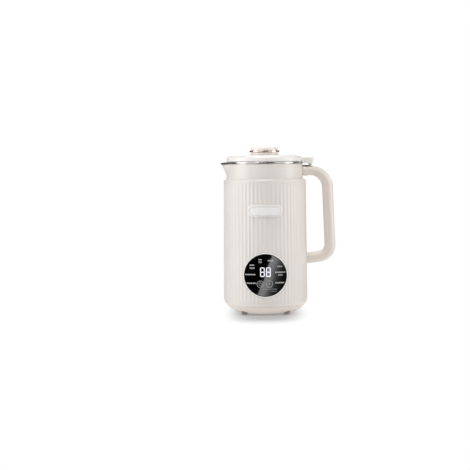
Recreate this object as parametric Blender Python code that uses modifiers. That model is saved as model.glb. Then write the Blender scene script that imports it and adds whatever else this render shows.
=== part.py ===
"""Countertop soy milk maker: a fluted double-walled jug with a lift-off lid, a side handle, and a
motor, a heater and a round control panel under a stainless cup.

Metres, +Z up. The panel faces -Y, the handle +X and the spout -X. Every piece is modelled about the
axis of the body, and the empty soy_milk_maker moves them all so that the origin is under the middle
of the whole object."""

import math

import bmesh
import bpy
from mathutils import Matrix

MM = 0.001

# Fits, shared by every piece.
FIT = 0.3 * MM
CUP_GAP = 0.6 * MM
AIR_GAP = 0.6 * MM
OVERRUN = 3 * MM
MERGE_DISTANCE = 0.01 * MM
SHARP_ANGLE = math.radians(30)

# Body shell and its flutes.
BODY_RADIUS = 63.5 * MM
BODY_TAPER = 1.5 * MM
SHELL_HEIGHT = 188.7 * MM
SHELL_WALL = 2.5 * MM
FLUTE_COUNT = 64
FLUTE_DEPTH = 0.7 * MM
FLUTE_TOP_MARGIN = 4.5 * MM
SHOULDER_STEP = 4.4 * MM
SHOULDER_ROUND = 3 * MM
POST_RADIUS = 4.5 * MM
POST_INSET = 7.5 * MM
POST_ANGLE = math.radians(30)

# Base cover, feet and base screws.
GROUND_CLEARANCE = 3 * MM
BASE_HEIGHT = 10 * MM
BASE_ROUND = 20 * MM
BASE_WALL = 2.5 * MM
FOOT_RADIUS = 5 * MM
FOOT_RECESS = 1 * MM
FOOT_CIRCLE_OUTSET = 1.5 * MM
VENT_COUNT = 8
VENT_WIDTH = 3 * MM
VENT_LENGTH = 14 * MM
SCREW_RADIUS = 1.6 * MM
SCREW_HEAD_RADIUS = 3.2 * MM
SCREW_HEAD_HEIGHT = 2 * MM
SCREW_GRIP = 12 * MM

# Neck collar, cup and spout.
COLLAR_HEIGHT = 23.6 * MM
COLLAR_WALL = 2.5 * MM
COLLAR_SKIRT = 8 * MM
COLLAR_LEDGE = 1.4 * MM
CUP_WALL = 0.8 * MM
CUP_CORNER = 8 * MM
RIM_HEIGHT = 3.1 * MM
RIM_OVERHANG = 0.8 * MM
RIM_ROUND = 0.8 * MM
SPOUT_REACH = 8.9 * MM
SPOUT_DROP = 20 * MM
SPOUT_HALF_ANGLE = math.radians(26)
SPOUT_RINGS = 5
SPOUT_RISE_POWER = 1.25

# Lid.
LID_INSET = 0.9 * MM
LID_HEIGHT = 9.7 * MM
LID_WALL = 2.2 * MM
LID_ROUND = 4.3 * MM
TAB_LENGTH = 16.5 * MM
TAB_WIDTH = 26 * MM
TAB_HANG = 3 * MM
TAB_STEP = 3.7 * MM
TAB_CAM_RADIUS = 3 * MM
TAB_CAM_HEIGHT = 1.6 * MM
TAB_CLEARANCE = 1.1 * MM
LINER_INSET = 3.2 * MM
LINER_DEPTH = 32.7 * MM
LINER_WALL = 1.8 * MM
SEAL_HEIGHT = 4.4 * MM
SEAL_CLEARANCE = 0.4 * MM
RIDGE_HEIGHT = 1.2 * MM
RIDGE_REACH = 1.7 * MM
KNOB_BASE_RADIUS = 21.1 * MM
KNOB_BASE_HEIGHT = 3.6 * MM
KNOB_SPIGOT_RADIUS = 14 * MM
KNOB_RING_RADIUS = 22.6 * MM
KNOB_RING_HEIGHT = 2.8 * MM
KNOB_CAP_RADIUS = 20 * MM
KNOB_CAP_HEIGHT = 5.5 * MM
KNOB_ROUND = 1.2 * MM
KNOB_SCREW_LENGTH = 8 * MM

# Handle: a hollow loop in the XZ plane, split along its mid thickness.
HANDLE_WIDTH = 24 * MM
HANDLE_WALL = 2.4 * MM
HANDLE_CORNER = 6 * MM
ARM_DROP = 10.6 * MM
ARM_LENGTH = 11.5 * MM
UPPER_ARM_THICKNESS = 14.1 * MM
GRIP_THICKNESS = 16.1 * MM
LOWER_ARM_THICKNESS = 15.6 * MM
UPPER_BEND_RADIUS = 26.1 * MM
LOWER_BEND_RADIUS = 17.7 * MM
GRIP_LENGTH = 86.8 * MM
GRIP_LEAN = math.radians(1.95)
LOWER_ARM_SLOPE = math.radians(7.5)
BEND_STEPS = 5
ARM_LAP = 4 * MM
END_PLATE_THICKNESS = 4 * MM
END_PLATE_WIDTH = 14 * MM
TONGUE_LENGTH = 7.6 * MM
TONGUE_WIDTH = 14 * MM
TONGUE_HEIGHT = 6 * MM
PAD_HEIGHT = 2.3 * MM
PAD_WIDTH = 9 * MM
PAD_FLOOR = 1.7 * MM
PLUNGER_RADIUS = 2.5 * MM
PLUNGER_FOOT = 1.2 * MM
SWITCH_LENGTH = 11.4 * MM
SWITCH_WIDTH = 5.8 * MM
SWITCH_HEIGHT = 5.6 * MM
PLUNGER_RISE = 2 * MM

# Display and name plate.
DISPLAY_RISE = 47.6 * MM
DISPLAY_RADIUS = 31.7 * MM
PANEL_THICKNESS = 2 * MM
PANEL_PROUD = 0.4 * MM
BEZEL_WIDTH = 1.7 * MM
BEZEL_PROUD = 0.4 * MM
BEZEL_LEDGE = 5 * MM
BEZEL_LEDGE_THICKNESS = 1.5 * MM
BOARD_THICKNESS = 1.6 * MM
DIGITS_WIDTH = 22 * MM
DIGITS_HEIGHT = 17 * MM
DIGITS_RISE = 4.7 * MM
PLATE_DROP = 44.4 * MM
PLATE_WIDTH = 53.8 * MM
PLATE_HEIGHT = 17.3 * MM
PLATE_THICKNESS = 1.2 * MM
PLATE_CORNER = 4 * MM

# Inlet and power board at the rear.
INLET_RISE = 24.7 * MM
INLET_WIDTH = 28 * MM
INLET_HEIGHT = 21 * MM
INLET_DEPTH = 17 * MM
INLET_PROUD = 0.6 * MM
SOCKET_MARGIN = 2.2 * MM
SOCKET_DEPTH = 12.5 * MM
PIN_LENGTH = 8 * MM
PIN_WIDTH = 4 * MM
PIN_THICKNESS = 2 * MM
PIN_PITCH = 7 * MM
PIN_SEAT = 1.6 * MM
POWER_BOARD_WIDTH = 56 * MM
POWER_BOARD_HEIGHT = 56 * MM
POWER_BOARD_GAP = 4 * MM
SLOT_RIB = 2 * MM
SLOT_INSET = 6 * MM
SLOT_HEIGHT = 5 * MM

# Chassis, heater and sensors.
CHASSIS_THICKNESS = 3 * MM
CHASSIS_MARGIN = 6.5 * MM
CHASSIS_RING_HEIGHT = 13.7 * MM
CHASSIS_RING_WALL = 2.8 * MM
RING_LAP = 2 * MM
CHASSIS_HOLE = 12 * MM
HEAT_PLATE_THICKNESS = 3.7 * MM
HEATER_TUBE_RADIUS = 3 * MM
HEATER_GAP_ANGLE = math.radians(40)
HEATER_STEPS = 20
HEATER_CLEARANCE = 1 * MM
THERMOSTAT_RADIUS = 5 * MM
SENSOR_RADIUS = 2.5 * MM

# Motor.
SHAFT_RADIUS = 4 * MM
SHAFT_TIP_RADIUS = 3 * MM
SHAFT_END_GAP = 3.5 * MM
SHAFT_OVERHANG = 2 * MM
FAN_RADIUS = 22 * MM
FAN_HEIGHT = 9 * MM
FAN_DISC = 2 * MM
FAN_HUB_RADIUS = 7 * MM
FAN_BLADE_COUNT = 9
FAN_GAP = 4 * MM
MOTOR_RADIUS = 27 * MM
STATOR_HEIGHT = 30 * MM
ARMATURE_RADIUS = 15.8 * MM
ARMATURE_INSET = 3 * MM
BRACKET_PLATE = 3 * MM
LOWER_BRACKET_HEIGHT = 5.7 * MM
UPPER_BRACKET_HEIGHT = 13 * MM
BRACKET_WALL = 2.4 * MM
BEARING_RADIUS = 9 * MM
BEARING_HEIGHT = 5 * MM
HUB_WALL = 2.2 * MM
BEARING_LIP = 1 * MM
COMMUTATOR_RADIUS = 8.5 * MM
COMMUTATOR_HEIGHT = 6 * MM
BRUSH_WIDTH = 8 * MM
BRUSH_HEIGHT = 5 * MM
BRUSH_GAP = 0.5 * MM
DAMPER_HEIGHT = 6.4 * MM
DAMPER_WALL = 8 * MM

# Blade seat and blades.
SEAT_NECK_RADIUS = 9 * MM
SEAT_FLANGE_RADIUS = 14 * MM
SEAT_FLANGE_HEIGHT = 3 * MM
SEAT_FOOT_GAP = 3 * MM
SEAT_NUT_RADIUS = 13 * MM
SEAT_NUT_HEIGHT = 5 * MM
NUT_CLEARANCE = 4 * MM
SHAFT_SEAL_RADIUS = 7 * MM
SHAFT_SEAL_HEIGHT = 2.2 * MM
BLADE_STANDOFF = 2.5 * MM
BLADE_RADIUS = 30 * MM
BLADE_THICKNESS = 1.2 * MM
BLADE_WIDTH = 11 * MM
BLADE_TIP_WIDTH = 5 * MM
BLADE_FLAT = 13 * MM
LOWER_BLADE_BEND = -4.5 * MM
UPPER_BLADE_BEND = 8 * MM
BLADE_NUT_RADIUS = 6 * MM
BLADE_NUT_HEIGHT = 6 * MM
BLADE_NUT_TOP = 1.4 * MM

# Facets round a turn: all large pieces share one count, so that their gaps stay even.
SHELL_STEPS = 2 * FLUTE_COUNT
FACE_STEPS = FLUTE_COUNT
LARGE_STEPS = 40
MOTOR_STEPS = 24
SMALL_STEPS = 12
ARC_STEPS = 2

# Levels, from the ground up.
BASE_TOP = GROUND_CLEARANCE + BASE_HEIGHT
BASE_FLOOR = GROUND_CLEARANCE + BASE_WALL
BASE_SCREW_SEAT = BASE_FLOOR + SCREW_HEAD_HEIGHT
SHELL_BOTTOM = BASE_TOP + FIT
SHELL_TOP = SHELL_BOTTOM + SHELL_HEIGHT
ROUND_TOP = GROUND_CLEARANCE + BASE_ROUND
FLUTE_TOP = SHELL_TOP - FLUTE_TOP_MARGIN
SHAFT_BOTTOM = BASE_FLOOR + SHAFT_END_GAP
FAN_BOTTOM = SHAFT_BOTTOM + SHAFT_OVERHANG
FAN_TOP = FAN_BOTTOM + FAN_HEIGHT
LOWER_BRACKET_BOTTOM = FAN_TOP + FAN_GAP
STATOR_BOTTOM = LOWER_BRACKET_BOTTOM + LOWER_BRACKET_HEIGHT + FIT
STATOR_TOP = STATOR_BOTTOM + STATOR_HEIGHT
UPPER_BRACKET_BOTTOM = STATOR_TOP + FIT
UPPER_BRACKET_TOP = UPPER_BRACKET_BOTTOM + UPPER_BRACKET_HEIGHT
DAMPER_BOTTOM = UPPER_BRACKET_TOP + FIT
LOWER_BEARING_BOTTOM = LOWER_BRACKET_BOTTOM + BEARING_LIP + FIT
UPPER_BEARING_BOTTOM = UPPER_BRACKET_TOP - BEARING_LIP - FIT - BEARING_HEIGHT
BRUSH_BOTTOM = UPPER_BRACKET_BOTTOM + FIT
CHASSIS_BOTTOM = DAMPER_BOTTOM + DAMPER_HEIGHT + FIT
CHASSIS_TOP = CHASSIS_BOTTOM + CHASSIS_THICKNESS
CHASSIS_RING_TOP = CHASSIS_TOP + CHASSIS_RING_HEIGHT
CUP_BOTTOM = CHASSIS_RING_TOP + FIT
CUP_FLOOR = CUP_BOTTOM + CUP_WALL
SEAT_TOP = CUP_FLOOR + FIT + SEAT_FLANGE_HEIGHT
SHAFT_SEAL_TOP = SEAT_TOP + FIT + SHAFT_SEAL_HEIGHT
SHAFT_SHOULDER = SHAFT_SEAL_TOP + BLADE_STANDOFF
LOWER_BLADE_BOTTOM = SHAFT_SHOULDER + FIT
UPPER_BLADE_BOTTOM = LOWER_BLADE_BOTTOM + BLADE_THICKNESS + FIT
BLADE_NUT_BOTTOM = UPPER_BLADE_BOTTOM + BLADE_THICKNESS + FIT
SHAFT_TOP = BLADE_NUT_BOTTOM + BLADE_NUT_HEIGHT - BLADE_NUT_TOP - FIT
COLLAR_BOTTOM = SHELL_TOP + FIT
COLLAR_TOP = COLLAR_BOTTOM + COLLAR_HEIGHT
RIM_BOTTOM = COLLAR_TOP + FIT
RIM_TOP = RIM_BOTTOM + RIM_HEIGHT
SPOUT_BOTTOM = RIM_TOP - SPOUT_DROP
LID_BOTTOM = RIM_TOP + FIT
LID_TOP = LID_BOTTOM + LID_HEIGHT
LID_CEILING = LID_TOP - LID_WALL
TAB_TOP = LID_TOP - TAB_STEP
TAB_BOTTOM = LID_BOTTOM - TAB_HANG
CAM_BOTTOM = TAB_BOTTOM - TAB_CAM_HEIGHT
LINER_TOP = LID_CEILING - FIT
LINER_BOTTOM = LINER_TOP - LINER_DEPTH
KNOB_BOTTOM = LID_TOP + FIT
KNOB_BASE_TOP = KNOB_BOTTOM + KNOB_BASE_HEIGHT
KNOB_RING_BOTTOM = KNOB_BASE_TOP + FIT
KNOB_RING_TOP = KNOB_RING_BOTTOM + KNOB_RING_HEIGHT
KNOB_CAP_BOTTOM = KNOB_RING_TOP + FIT
DISPLAY_Z = SHELL_BOTTOM + DISPLAY_RISE
PLATE_Z = SHELL_TOP - PLATE_DROP
INLET_Z = SHELL_BOTTOM + INLET_RISE
ARM_Z = COLLAR_TOP - ARM_DROP
ARM_UNDERSIDE = ARM_Z - UPPER_ARM_THICKNESS / 2
ARM_TOP = ARM_Z + UPPER_ARM_THICKNESS / 2

# Radii, from the outside in.
SHOULDER_RADIUS = BODY_RADIUS - BODY_TAPER
NECK_RADIUS = SHOULDER_RADIUS - SHOULDER_STEP
RIM_RADIUS = NECK_RADIUS + RIM_OVERHANG
LID_RADIUS = RIM_RADIUS - LID_INSET
TAB_END = LID_RADIUS + TAB_LENGTH
COLLAR_BORE = NECK_RADIUS - COLLAR_WALL
CUP_RADIUS = COLLAR_BORE - CUP_GAP
CUP_BORE = CUP_RADIUS - CUP_WALL
LINER_RADIUS = CUP_BORE - LINER_INSET
SHELL_BORE = BODY_RADIUS - SHELL_WALL
CHASSIS_RADIUS = SHELL_BORE - CHASSIS_MARGIN
POST_CIRCLE = SHOULDER_RADIUS - SHELL_WALL - POST_RADIUS - POST_INSET
RING_BORE = CUP_RADIUS - CUP_CORNER - RING_LAP
HEAT_PLATE_BORE = SEAT_NUT_RADIUS + NUT_CLEARANCE
HEAT_PLATE_RADIUS = RING_BORE - HEATER_CLEARANCE
HEATER_RADIUS = (HEAT_PLATE_BORE + HEAT_PLATE_RADIUS) / 2
STATOR_BORE = ARMATURE_RADIUS + AIR_GAP
BRACKET_BORE = MOTOR_RADIUS - BRACKET_WALL


def crest_radius(z):
    """Outer radius of the body on a flute's crest. The body narrows evenly above its bottom rounding."""
    return BODY_RADIUS - BODY_TAPER * max(0, z - ROUND_TOP) / (SHELL_TOP - ROUND_TOP)


def spout_flare(angle, z):
    """How far the neck and the cup are drawn outwards at this height, towards the spout at -X."""
    from_spout = abs(math.pi - angle % math.tau)
    if z <= SPOUT_BOTTOM or from_spout >= SPOUT_HALF_ANGLE:
        return 0
    rise = min(1, (z - SPOUT_BOTTOM) / (RIM_TOP - SPOUT_BOTTOM))
    bump = (1 + math.cos(math.pi * from_spout / SPOUT_HALF_ANGLE)) / 2
    return SPOUT_REACH * rise**SPOUT_RISE_POWER * bump


def handle_stations():
    """(x, z, heading, thickness) along the handle, from inside the neck round to inside the shell."""
    x = NECK_RADIUS - ARM_LAP
    z = ARM_Z
    heading = 0
    stations = [(x, z, heading, UPPER_ARM_THICKNESS)]
    x = NECK_RADIUS + ARM_LENGTH
    stations.append((x, z, heading, UPPER_ARM_THICKNESS))
    grip_heading = -math.pi / 2 + GRIP_LEAN
    low_heading = -math.pi + LOWER_ARM_SLOPE
    bends = (
        (grip_heading, UPPER_BEND_RADIUS, UPPER_ARM_THICKNESS, GRIP_THICKNESS, GRIP_LENGTH),
        (low_heading, LOWER_BEND_RADIUS, GRIP_THICKNESS, LOWER_ARM_THICKNESS, None),
    )
    for end_heading, radius, from_thickness, to_thickness, straight in bends:
        turn = (end_heading - heading) / BEND_STEPS
        chord = 2 * radius * math.sin(abs(turn) / 2)
        for step in range(BEND_STEPS):
            share = (step + 1) / BEND_STEPS
            x += chord * math.cos(heading + turn / 2)
            z += chord * math.sin(heading + turn / 2)
            heading += turn
            thickness = from_thickness + (to_thickness - from_thickness) * share
            stations.append((x, z, heading, thickness))
        if straight is None:
            straight = (x - BODY_RADIUS + ARM_LAP) / abs(math.cos(heading))
        x += straight * math.cos(heading)
        z += straight * math.sin(heading)
        stations.append((x, z, heading, thickness))
    return stations


HANDLE_PATH = handle_stations()
HANDLE_REACH = max(x + thickness / 2 * -math.sin(heading) for x, z, heading, thickness in HANDLE_PATH)
LOWER_ARM_Z = HANDLE_PATH[-1][1]
SPOUT_TIP = RIM_RADIUS + SPOUT_REACH
BODY_AXIS_X = (SPOUT_TIP - HANDLE_REACH) / 2
LOWER_SCREW_SEAT = crest_radius(LOWER_ARM_Z) - SHELL_WALL
END_PLATE_START = crest_radius(LOWER_ARM_Z) + FIT + FIT
TONGUE_BOTTOM = ARM_UNDERSIDE + HANDLE_WALL + PAD_HEIGHT + FIT
TONGUE_END = NECK_RADIUS + TONGUE_LENGTH
UPPER_SCREW_END = TONGUE_BOTTOM + TONGUE_HEIGHT - HANDLE_WALL / 2
UPPER_SCREW_X = NECK_RADIUS + TONGUE_LENGTH / 2 + FIT
SWITCH_X = TONGUE_END + FIT + FIT + PLUNGER_RADIUS + PLUNGER_FOOT
SWITCH_BOTTOM = ARM_UNDERSIDE + HANDLE_WALL + FIT
PANEL_FACE = crest_radius(DISPLAY_Z) + PANEL_PROUD
BEZEL_FACE = PANEL_FACE + BEZEL_PROUD
BEZEL_RADIUS = DISPLAY_RADIUS + FIT + BEZEL_WIDTH
PANEL_BACK = math.sqrt((PANEL_FACE - PANEL_THICKNESS) ** 2 - DISPLAY_RADIUS**2)
LEDGE_FRONT = PANEL_BACK - FIT
BEZEL_BACK = LEDGE_FRONT - BEZEL_LEDGE_THICKNESS
BOARD_FRONT = BEZEL_BACK - FIT
BOARD_RADIUS = DISPLAY_RADIUS - BEZEL_LEDGE / 2
BOARD_BACK = BOARD_FRONT - BOARD_THICKNESS
INLET_FACE = crest_radius(INLET_Z) + INLET_PROUD
INLET_BACK = INLET_FACE - INLET_DEPTH
SOCKET_FLOOR = INLET_FACE - SOCKET_DEPTH
POWER_BOARD_Y = INLET_BACK - POWER_BOARD_GAP - BOARD_THICKNESS / 2

# Colour, roughness and metallic value of each finish.
FINISHES = {
    "cream_plastic": ((0.80, 0.77, 0.73, 1), 0.35, 0),
    "handle_plastic": ((0.74, 0.69, 0.64, 1), 0.3, 0),
    "polished_steel": ((0.72, 0.70, 0.68, 1), 0.12, 1),
    "copper_plate": ((0.83, 0.56, 0.44, 1), 0.15, 1),
    "black_gloss": ((0.01, 0.01, 0.012, 1), 0.08, 0),
    "pale_plate": ((0.82, 0.80, 0.81, 1), 0.3, 0.2),
    "display_white": ((0.85, 0.86, 0.9, 1), 0.4, 0),
    "board_green": ((0.03, 0.16, 0.07, 1), 0.5, 0),
    "dark_plastic": ((0.05, 0.05, 0.05, 1), 0.5, 0),
    "black_rubber": ((0.03, 0.03, 0.03, 1), 0.8, 0),
    "silicone": ((0.85, 0.84, 0.82, 1), 0.6, 0),
    "aluminium": ((0.75, 0.75, 0.76, 1), 0.35, 1),
    "zinc_steel": ((0.55, 0.55, 0.56, 1), 0.4, 1),
    "motor_steel": ((0.32, 0.32, 0.34, 1), 0.5, 1),
    "copper": ((0.72, 0.40, 0.25, 1), 0.35, 1),
    "brass": ((0.75, 0.58, 0.28, 1), 0.3, 1),
    "phenolic": ((0.16, 0.09, 0.05, 1), 0.6, 0),
}


def clear_scene():
    for thing in list(bpy.data.objects):
        bpy.data.objects.remove(thing)
    for group in list(bpy.data.collections):
        bpy.data.collections.remove(group)


def add_collection(name):
    group = bpy.data.collections.new(name)
    bpy.context.scene.collection.children.link(group)
    return group


clear_scene()
PARTS = add_collection("soy_milk_maker_parts")
CUTTERS = add_collection("soy_milk_maker_cutters")


def add_empty(name, parent, location):
    empty = bpy.data.objects.new(name, None)
    PARTS.objects.link(empty)
    empty.parent = parent
    empty.location = location
    return empty


ROOT = add_empty("soy_milk_maker", None, (BODY_AXIS_X, 0, 0))
LID_AXIS = add_empty("lid_axis", ROOT, (0, 0, 0))
DRIVE_AXIS = add_empty("drive_axis", ROOT, (0, 0, 0))
PLUNGER_AXIS = add_empty("plunger_axis", ROOT, (SWITCH_X, 0, 0))


def make_finish(node, finish):
    colour, roughness, metallic = FINISHES[finish]
    material = bpy.data.materials.new(node + "_finish")
    material.use_nodes = True
    shader = material.node_tree.nodes["Principled BSDF"]
    shader.inputs["Base Color"].default_value = colour
    shader.inputs["Roughness"].default_value = roughness
    shader.inputs["Metallic"].default_value = metallic
    material.diffuse_color = colour
    return material


def add_mesh(name, mesh, parent=ROOT, location=(0, 0, 0)):
    thing = bpy.data.objects.new(name, mesh)
    PARTS.objects.link(thing)
    thing.parent = parent
    thing.location = location
    return thing


def finished(thing, finish):
    """Gives a piece its finish, with round faces smooth and true edges sharp."""
    if thing.type == "MESH":
        thing.data.shade_smooth()
        thing.data.set_sharp_from_angle(angle=SHARP_ANGLE)
    thing.data.materials.clear()
    thing.data.materials.append(make_finish(thing.name, finish))
    return thing


def turned_mesh(name, profile, steps):
    """A solid of revolution about Z, from (radius, height) points. A profile that starts and ends on the
    axis is closed by it, and any other is closed from its last point to its first."""
    area = sum(
        r1 * z2 - r2 * z1 for (r1, z1), (r2, z2) in zip(profile, profile[1:] + profile[:1])
    )
    points = profile if area < 0 else profile[::-1]
    on_axis = points[0][0] == 0 and points[-1][0] == 0
    count = len(points)
    edges = [(i, (i + 1) % count) for i in range(count - 1 if on_axis else count)]
    outline = bpy.data.meshes.new(name + "_outline")
    outline.from_pydata([(r, 0, z) for r, z in points], edges, [])
    thing = bpy.data.objects.new(name + "_turning", outline)
    CUTTERS.objects.link(thing)
    screw = thing.modifiers.new("turn", "SCREW")
    screw.axis = "Z"
    screw.angle = math.tau
    screw.steps = steps
    screw.render_steps = steps
    screw.use_merge_vertices = True
    screw.merge_threshold = MERGE_DISTANCE
    graph = bpy.context.evaluated_depsgraph_get()
    mesh = bpy.data.meshes.new_from_object(thing.evaluated_get(graph))
    mesh.name = name
    bpy.data.objects.remove(thing)
    return mesh


def turned(name, profile, steps, finish, parent=ROOT, location=(0, 0, 0)):
    return finished(add_mesh(name, turned_mesh(name, profile, steps), parent, location), finish)


def box_mesh(name, low, high):
    mesh = bpy.data.meshes.new(name)
    shape = bmesh.new()
    size = [b - a for a, b in zip(low, high)]
    middle = [(a + b) / 2 for a, b in zip(low, high)]
    bmesh.ops.create_cube(shape, size=1, matrix=Matrix.Translation(middle) @ Matrix.Diagonal((*size, 1)))
    shape.to_mesh(mesh)
    shape.free()
    return mesh


def box(name, low, high, finish, parent=ROOT, location=(0, 0, 0)):
    return finished(add_mesh(name, box_mesh(name, low, high), parent, location), finish)


def rod_mesh(name, radius, start, end, steps, axis="Z"):
    """A cylinder from start to end along one axis, about that axis."""
    turns = {
        "Z": Matrix(),
        "X": Matrix.Rotation(math.pi / 2, 4, "Y"),
        "Y": Matrix.Rotation(-math.pi / 2, 4, "X"),
    }
    mesh = bpy.data.meshes.new(name)
    shape = bmesh.new()
    place = turns[axis] @ Matrix.Translation((0, 0, (start + end) / 2))
    bmesh.ops.create_cone(
        shape,
        cap_ends=True,
        segments=steps,
        radius1=radius,
        radius2=radius,
        depth=end - start,
        matrix=place,
    )
    shape.to_mesh(mesh)
    shape.free()
    return mesh


def loft_mesh(name, rings):
    """A closed solid through rings of equally many points, capped at both ends."""
    shape = bmesh.new()
    rows = [[shape.verts.new(point) for point in ring] for ring in rings]
    count = len(rows[0])
    for row, following in zip(rows, rows[1:]):
        for i in range(count):
            j = (i + 1) % count
            shape.faces.new((row[i], row[j], following[j], following[i]))
    shape.faces.new(rows[0][::-1])
    shape.faces.new(rows[-1])
    bmesh.ops.recalc_face_normals(shape, faces=shape.faces)
    bmesh.ops.triangulate(shape, faces=[face for face in shape.faces if len(face.verts) > 4])
    mesh = bpy.data.meshes.new(name)
    shape.to_mesh(mesh)
    shape.free()
    return mesh


def tool(name, mesh, location=(0, 0, 0), turn=0):
    """A hidden helper that cuts a piece or is joined to one."""
    helper = bpy.data.objects.new(name, mesh)
    CUTTERS.objects.link(helper)
    helper.parent = ROOT
    helper.location = location
    helper.rotation_euler.z = turn
    helper.hide_render = True
    helper.display_type = "WIRE"
    return helper


def combine(thing, helper, operation):
    step = thing.modifiers.new(helper.name, "BOOLEAN")
    step.operation = operation
    step.object = helper
    return thing


def cut(thing, helper):
    return combine(thing, helper, "DIFFERENCE")


def join(thing, helper):
    return combine(thing, helper, "UNION")


def arc(centre_r, centre_z, radius, start, end, steps=ARC_STEPS):
    """Profile points on an arc, with angles measured from +r towards +z."""
    angles = [start + (end - start) * i / steps for i in range(steps + 1)]
    return [(centre_r + radius * math.cos(a), centre_z + radius * math.sin(a)) for a in angles]


def ring_profile(inner, outer, bottom, top):
    return [(inner, bottom), (outer, bottom), (outer, top), (inner, top)]


def round_places(count, radius, first_angle=0):
    """(x, y, angle) of places spaced evenly round the axis."""
    angles = [first_angle + math.tau * i / count for i in range(count)]
    return [(radius * math.cos(a), radius * math.sin(a), a) for a in angles]


def post_places():
    """(x, y, angle) of the four screw posts, two towards the handle and two towards the spout."""
    angles = (POST_ANGLE, math.pi - POST_ANGLE, math.pi + POST_ANGLE, -POST_ANGLE)
    return [(POST_CIRCLE * math.cos(a), POST_CIRCLE * math.sin(a), a) for a in angles]


def screw_mesh(name, length):
    """A pan-head screw about Z, its head's underside at z = 0 and its shank above."""
    profile = [
        (0, -SCREW_HEAD_HEIGHT),
        (SCREW_HEAD_RADIUS, -SCREW_HEAD_HEIGHT),
        (SCREW_HEAD_RADIUS, 0),
        (SCREW_RADIUS, 0),
        (SCREW_RADIUS, length),
        (0, length),
    ]
    return turned_mesh(name, profile, SMALL_STEPS)


def lower_wall_arc(inset, top):
    """The bottom rounding, from the flat underside up to a height, this far inside the outer face."""
    radius = BASE_ROUND - inset
    end = math.asin(max(-1, min(0, (top - ROUND_TOP) / radius)))
    return arc(BODY_RADIUS - BASE_ROUND, ROUND_TOP, radius, -math.pi / 2, end)


def rounding_above(inset, bottom):
    """The rest of the bottom rounding, from a height up to where the wall stands upright."""
    radius = BASE_ROUND - inset
    start = math.asin(max(-1, min(0, (bottom - ROUND_TOP) / radius)))
    return arc(BODY_RADIUS - BASE_ROUND, ROUND_TOP, radius, start, 0)


def make_outer_shell():
    shoulder = arc(
        SHOULDER_RADIUS - SHOULDER_ROUND, SHELL_TOP - SHOULDER_ROUND, SHOULDER_ROUND, math.pi / 2, 0
    )
    outside = shoulder + [(SHOULDER_RADIUS, FLUTE_TOP)] + rounding_above(0, SHELL_BOTTOM)[::-1]
    rounding = rounding_above(SHELL_WALL, SHELL_BOTTOM)
    inside = [
        rounding[0],
        rounding[-1],
        (SHOULDER_RADIUS - SHELL_WALL, SHELL_TOP - SHELL_WALL),
        (NECK_RADIUS + FIT, SHELL_TOP - SHELL_WALL),
        (NECK_RADIUS + FIT, SHELL_TOP),
    ]
    mesh = turned_mesh("outer_shell", outside + inside, SHELL_STEPS)
    press_flutes(mesh)
    shell = finished(add_mesh("outer_shell", mesh), "cream_plastic")
    for number, (x, y, angle) in enumerate(post_places(), 1):
        add_post(shell, number, x, y, angle)
    opening = rod_mesh("display_opening", BEZEL_RADIUS + FIT, 0, BODY_RADIUS + OVERRUN, LARGE_STEPS, "Y")
    cut(shell, tool("display_opening", opening, (0, -BODY_RADIUS - OVERRUN, DISPLAY_Z)))
    half = INLET_WIDTH / 2 + FIT
    tall = INLET_HEIGHT / 2 + FIT
    low = (-half, INLET_BACK, INLET_Z - tall)
    high = (half, INLET_FACE + OVERRUN, INLET_Z + tall)
    cut(shell, tool("inlet_opening", box_mesh("inlet_opening", low, high)))
    reach = BODY_RADIUS + OVERRUN
    hole = rod_mesh("shell_screw_hole", SCREW_RADIUS + FIT, BODY_RADIUS / 2, reach, SMALL_STEPS, "X")
    cut(shell, tool("shell_screw_hole", hole, (0, 0, LOWER_ARM_Z)))


def press_flutes(mesh):
    """Draws every other line of the outer face inwards between the bottom rounding and the shoulder."""
    lowest = (SHELL_BOTTOM + ROUND_TOP) / 2
    for vertex in mesh.vertices:
        x, y, z = vertex.co
        radius = math.hypot(x, y)
        line = round(math.atan2(y, x) * SHELL_STEPS / math.tau)
        outer = radius > crest_radius(z) - FLUTE_DEPTH / 2
        if line % 2 and outer and lowest < z < FLUTE_TOP + FLUTE_DEPTH:
            vertex.co.x *= (radius - FLUTE_DEPTH) / radius
            vertex.co.y *= (radius - FLUTE_DEPTH) / radius


def add_post(shell, number, x, y, angle):
    """A screw post up to the chassis, tied to the shell wall by a rib."""
    top = CHASSIS_BOTTOM - FIT
    bore = SCREW_RADIUS + FIT
    bore_end = BASE_SCREW_SEAT + SCREW_GRIP + FIT
    profile = [
        (0, top),
        (POST_RADIUS, top),
        (POST_RADIUS, SHELL_BOTTOM),
        (bore, SHELL_BOTTOM),
        (bore, bore_end),
        (0, bore_end),
    ]
    post = turned_mesh(f"post_{number}", profile, SMALL_STEPS)
    join(shell, tool(f"post_{number}", post, (x, y, 0), angle))
    rib_start = (POST_RADIUS + bore) / 2
    rib_end = SHELL_BORE + SHELL_WALL / 4 - POST_CIRCLE
    low = (rib_start, -POST_RADIUS / 2, ROUND_TOP)
    rib = box_mesh(f"post_rib_{number}", low, (rib_end, POST_RADIUS / 2, top - POST_RADIUS))
    join(shell, tool(f"post_rib_{number}", rib, (x, y, 0), angle))


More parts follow.
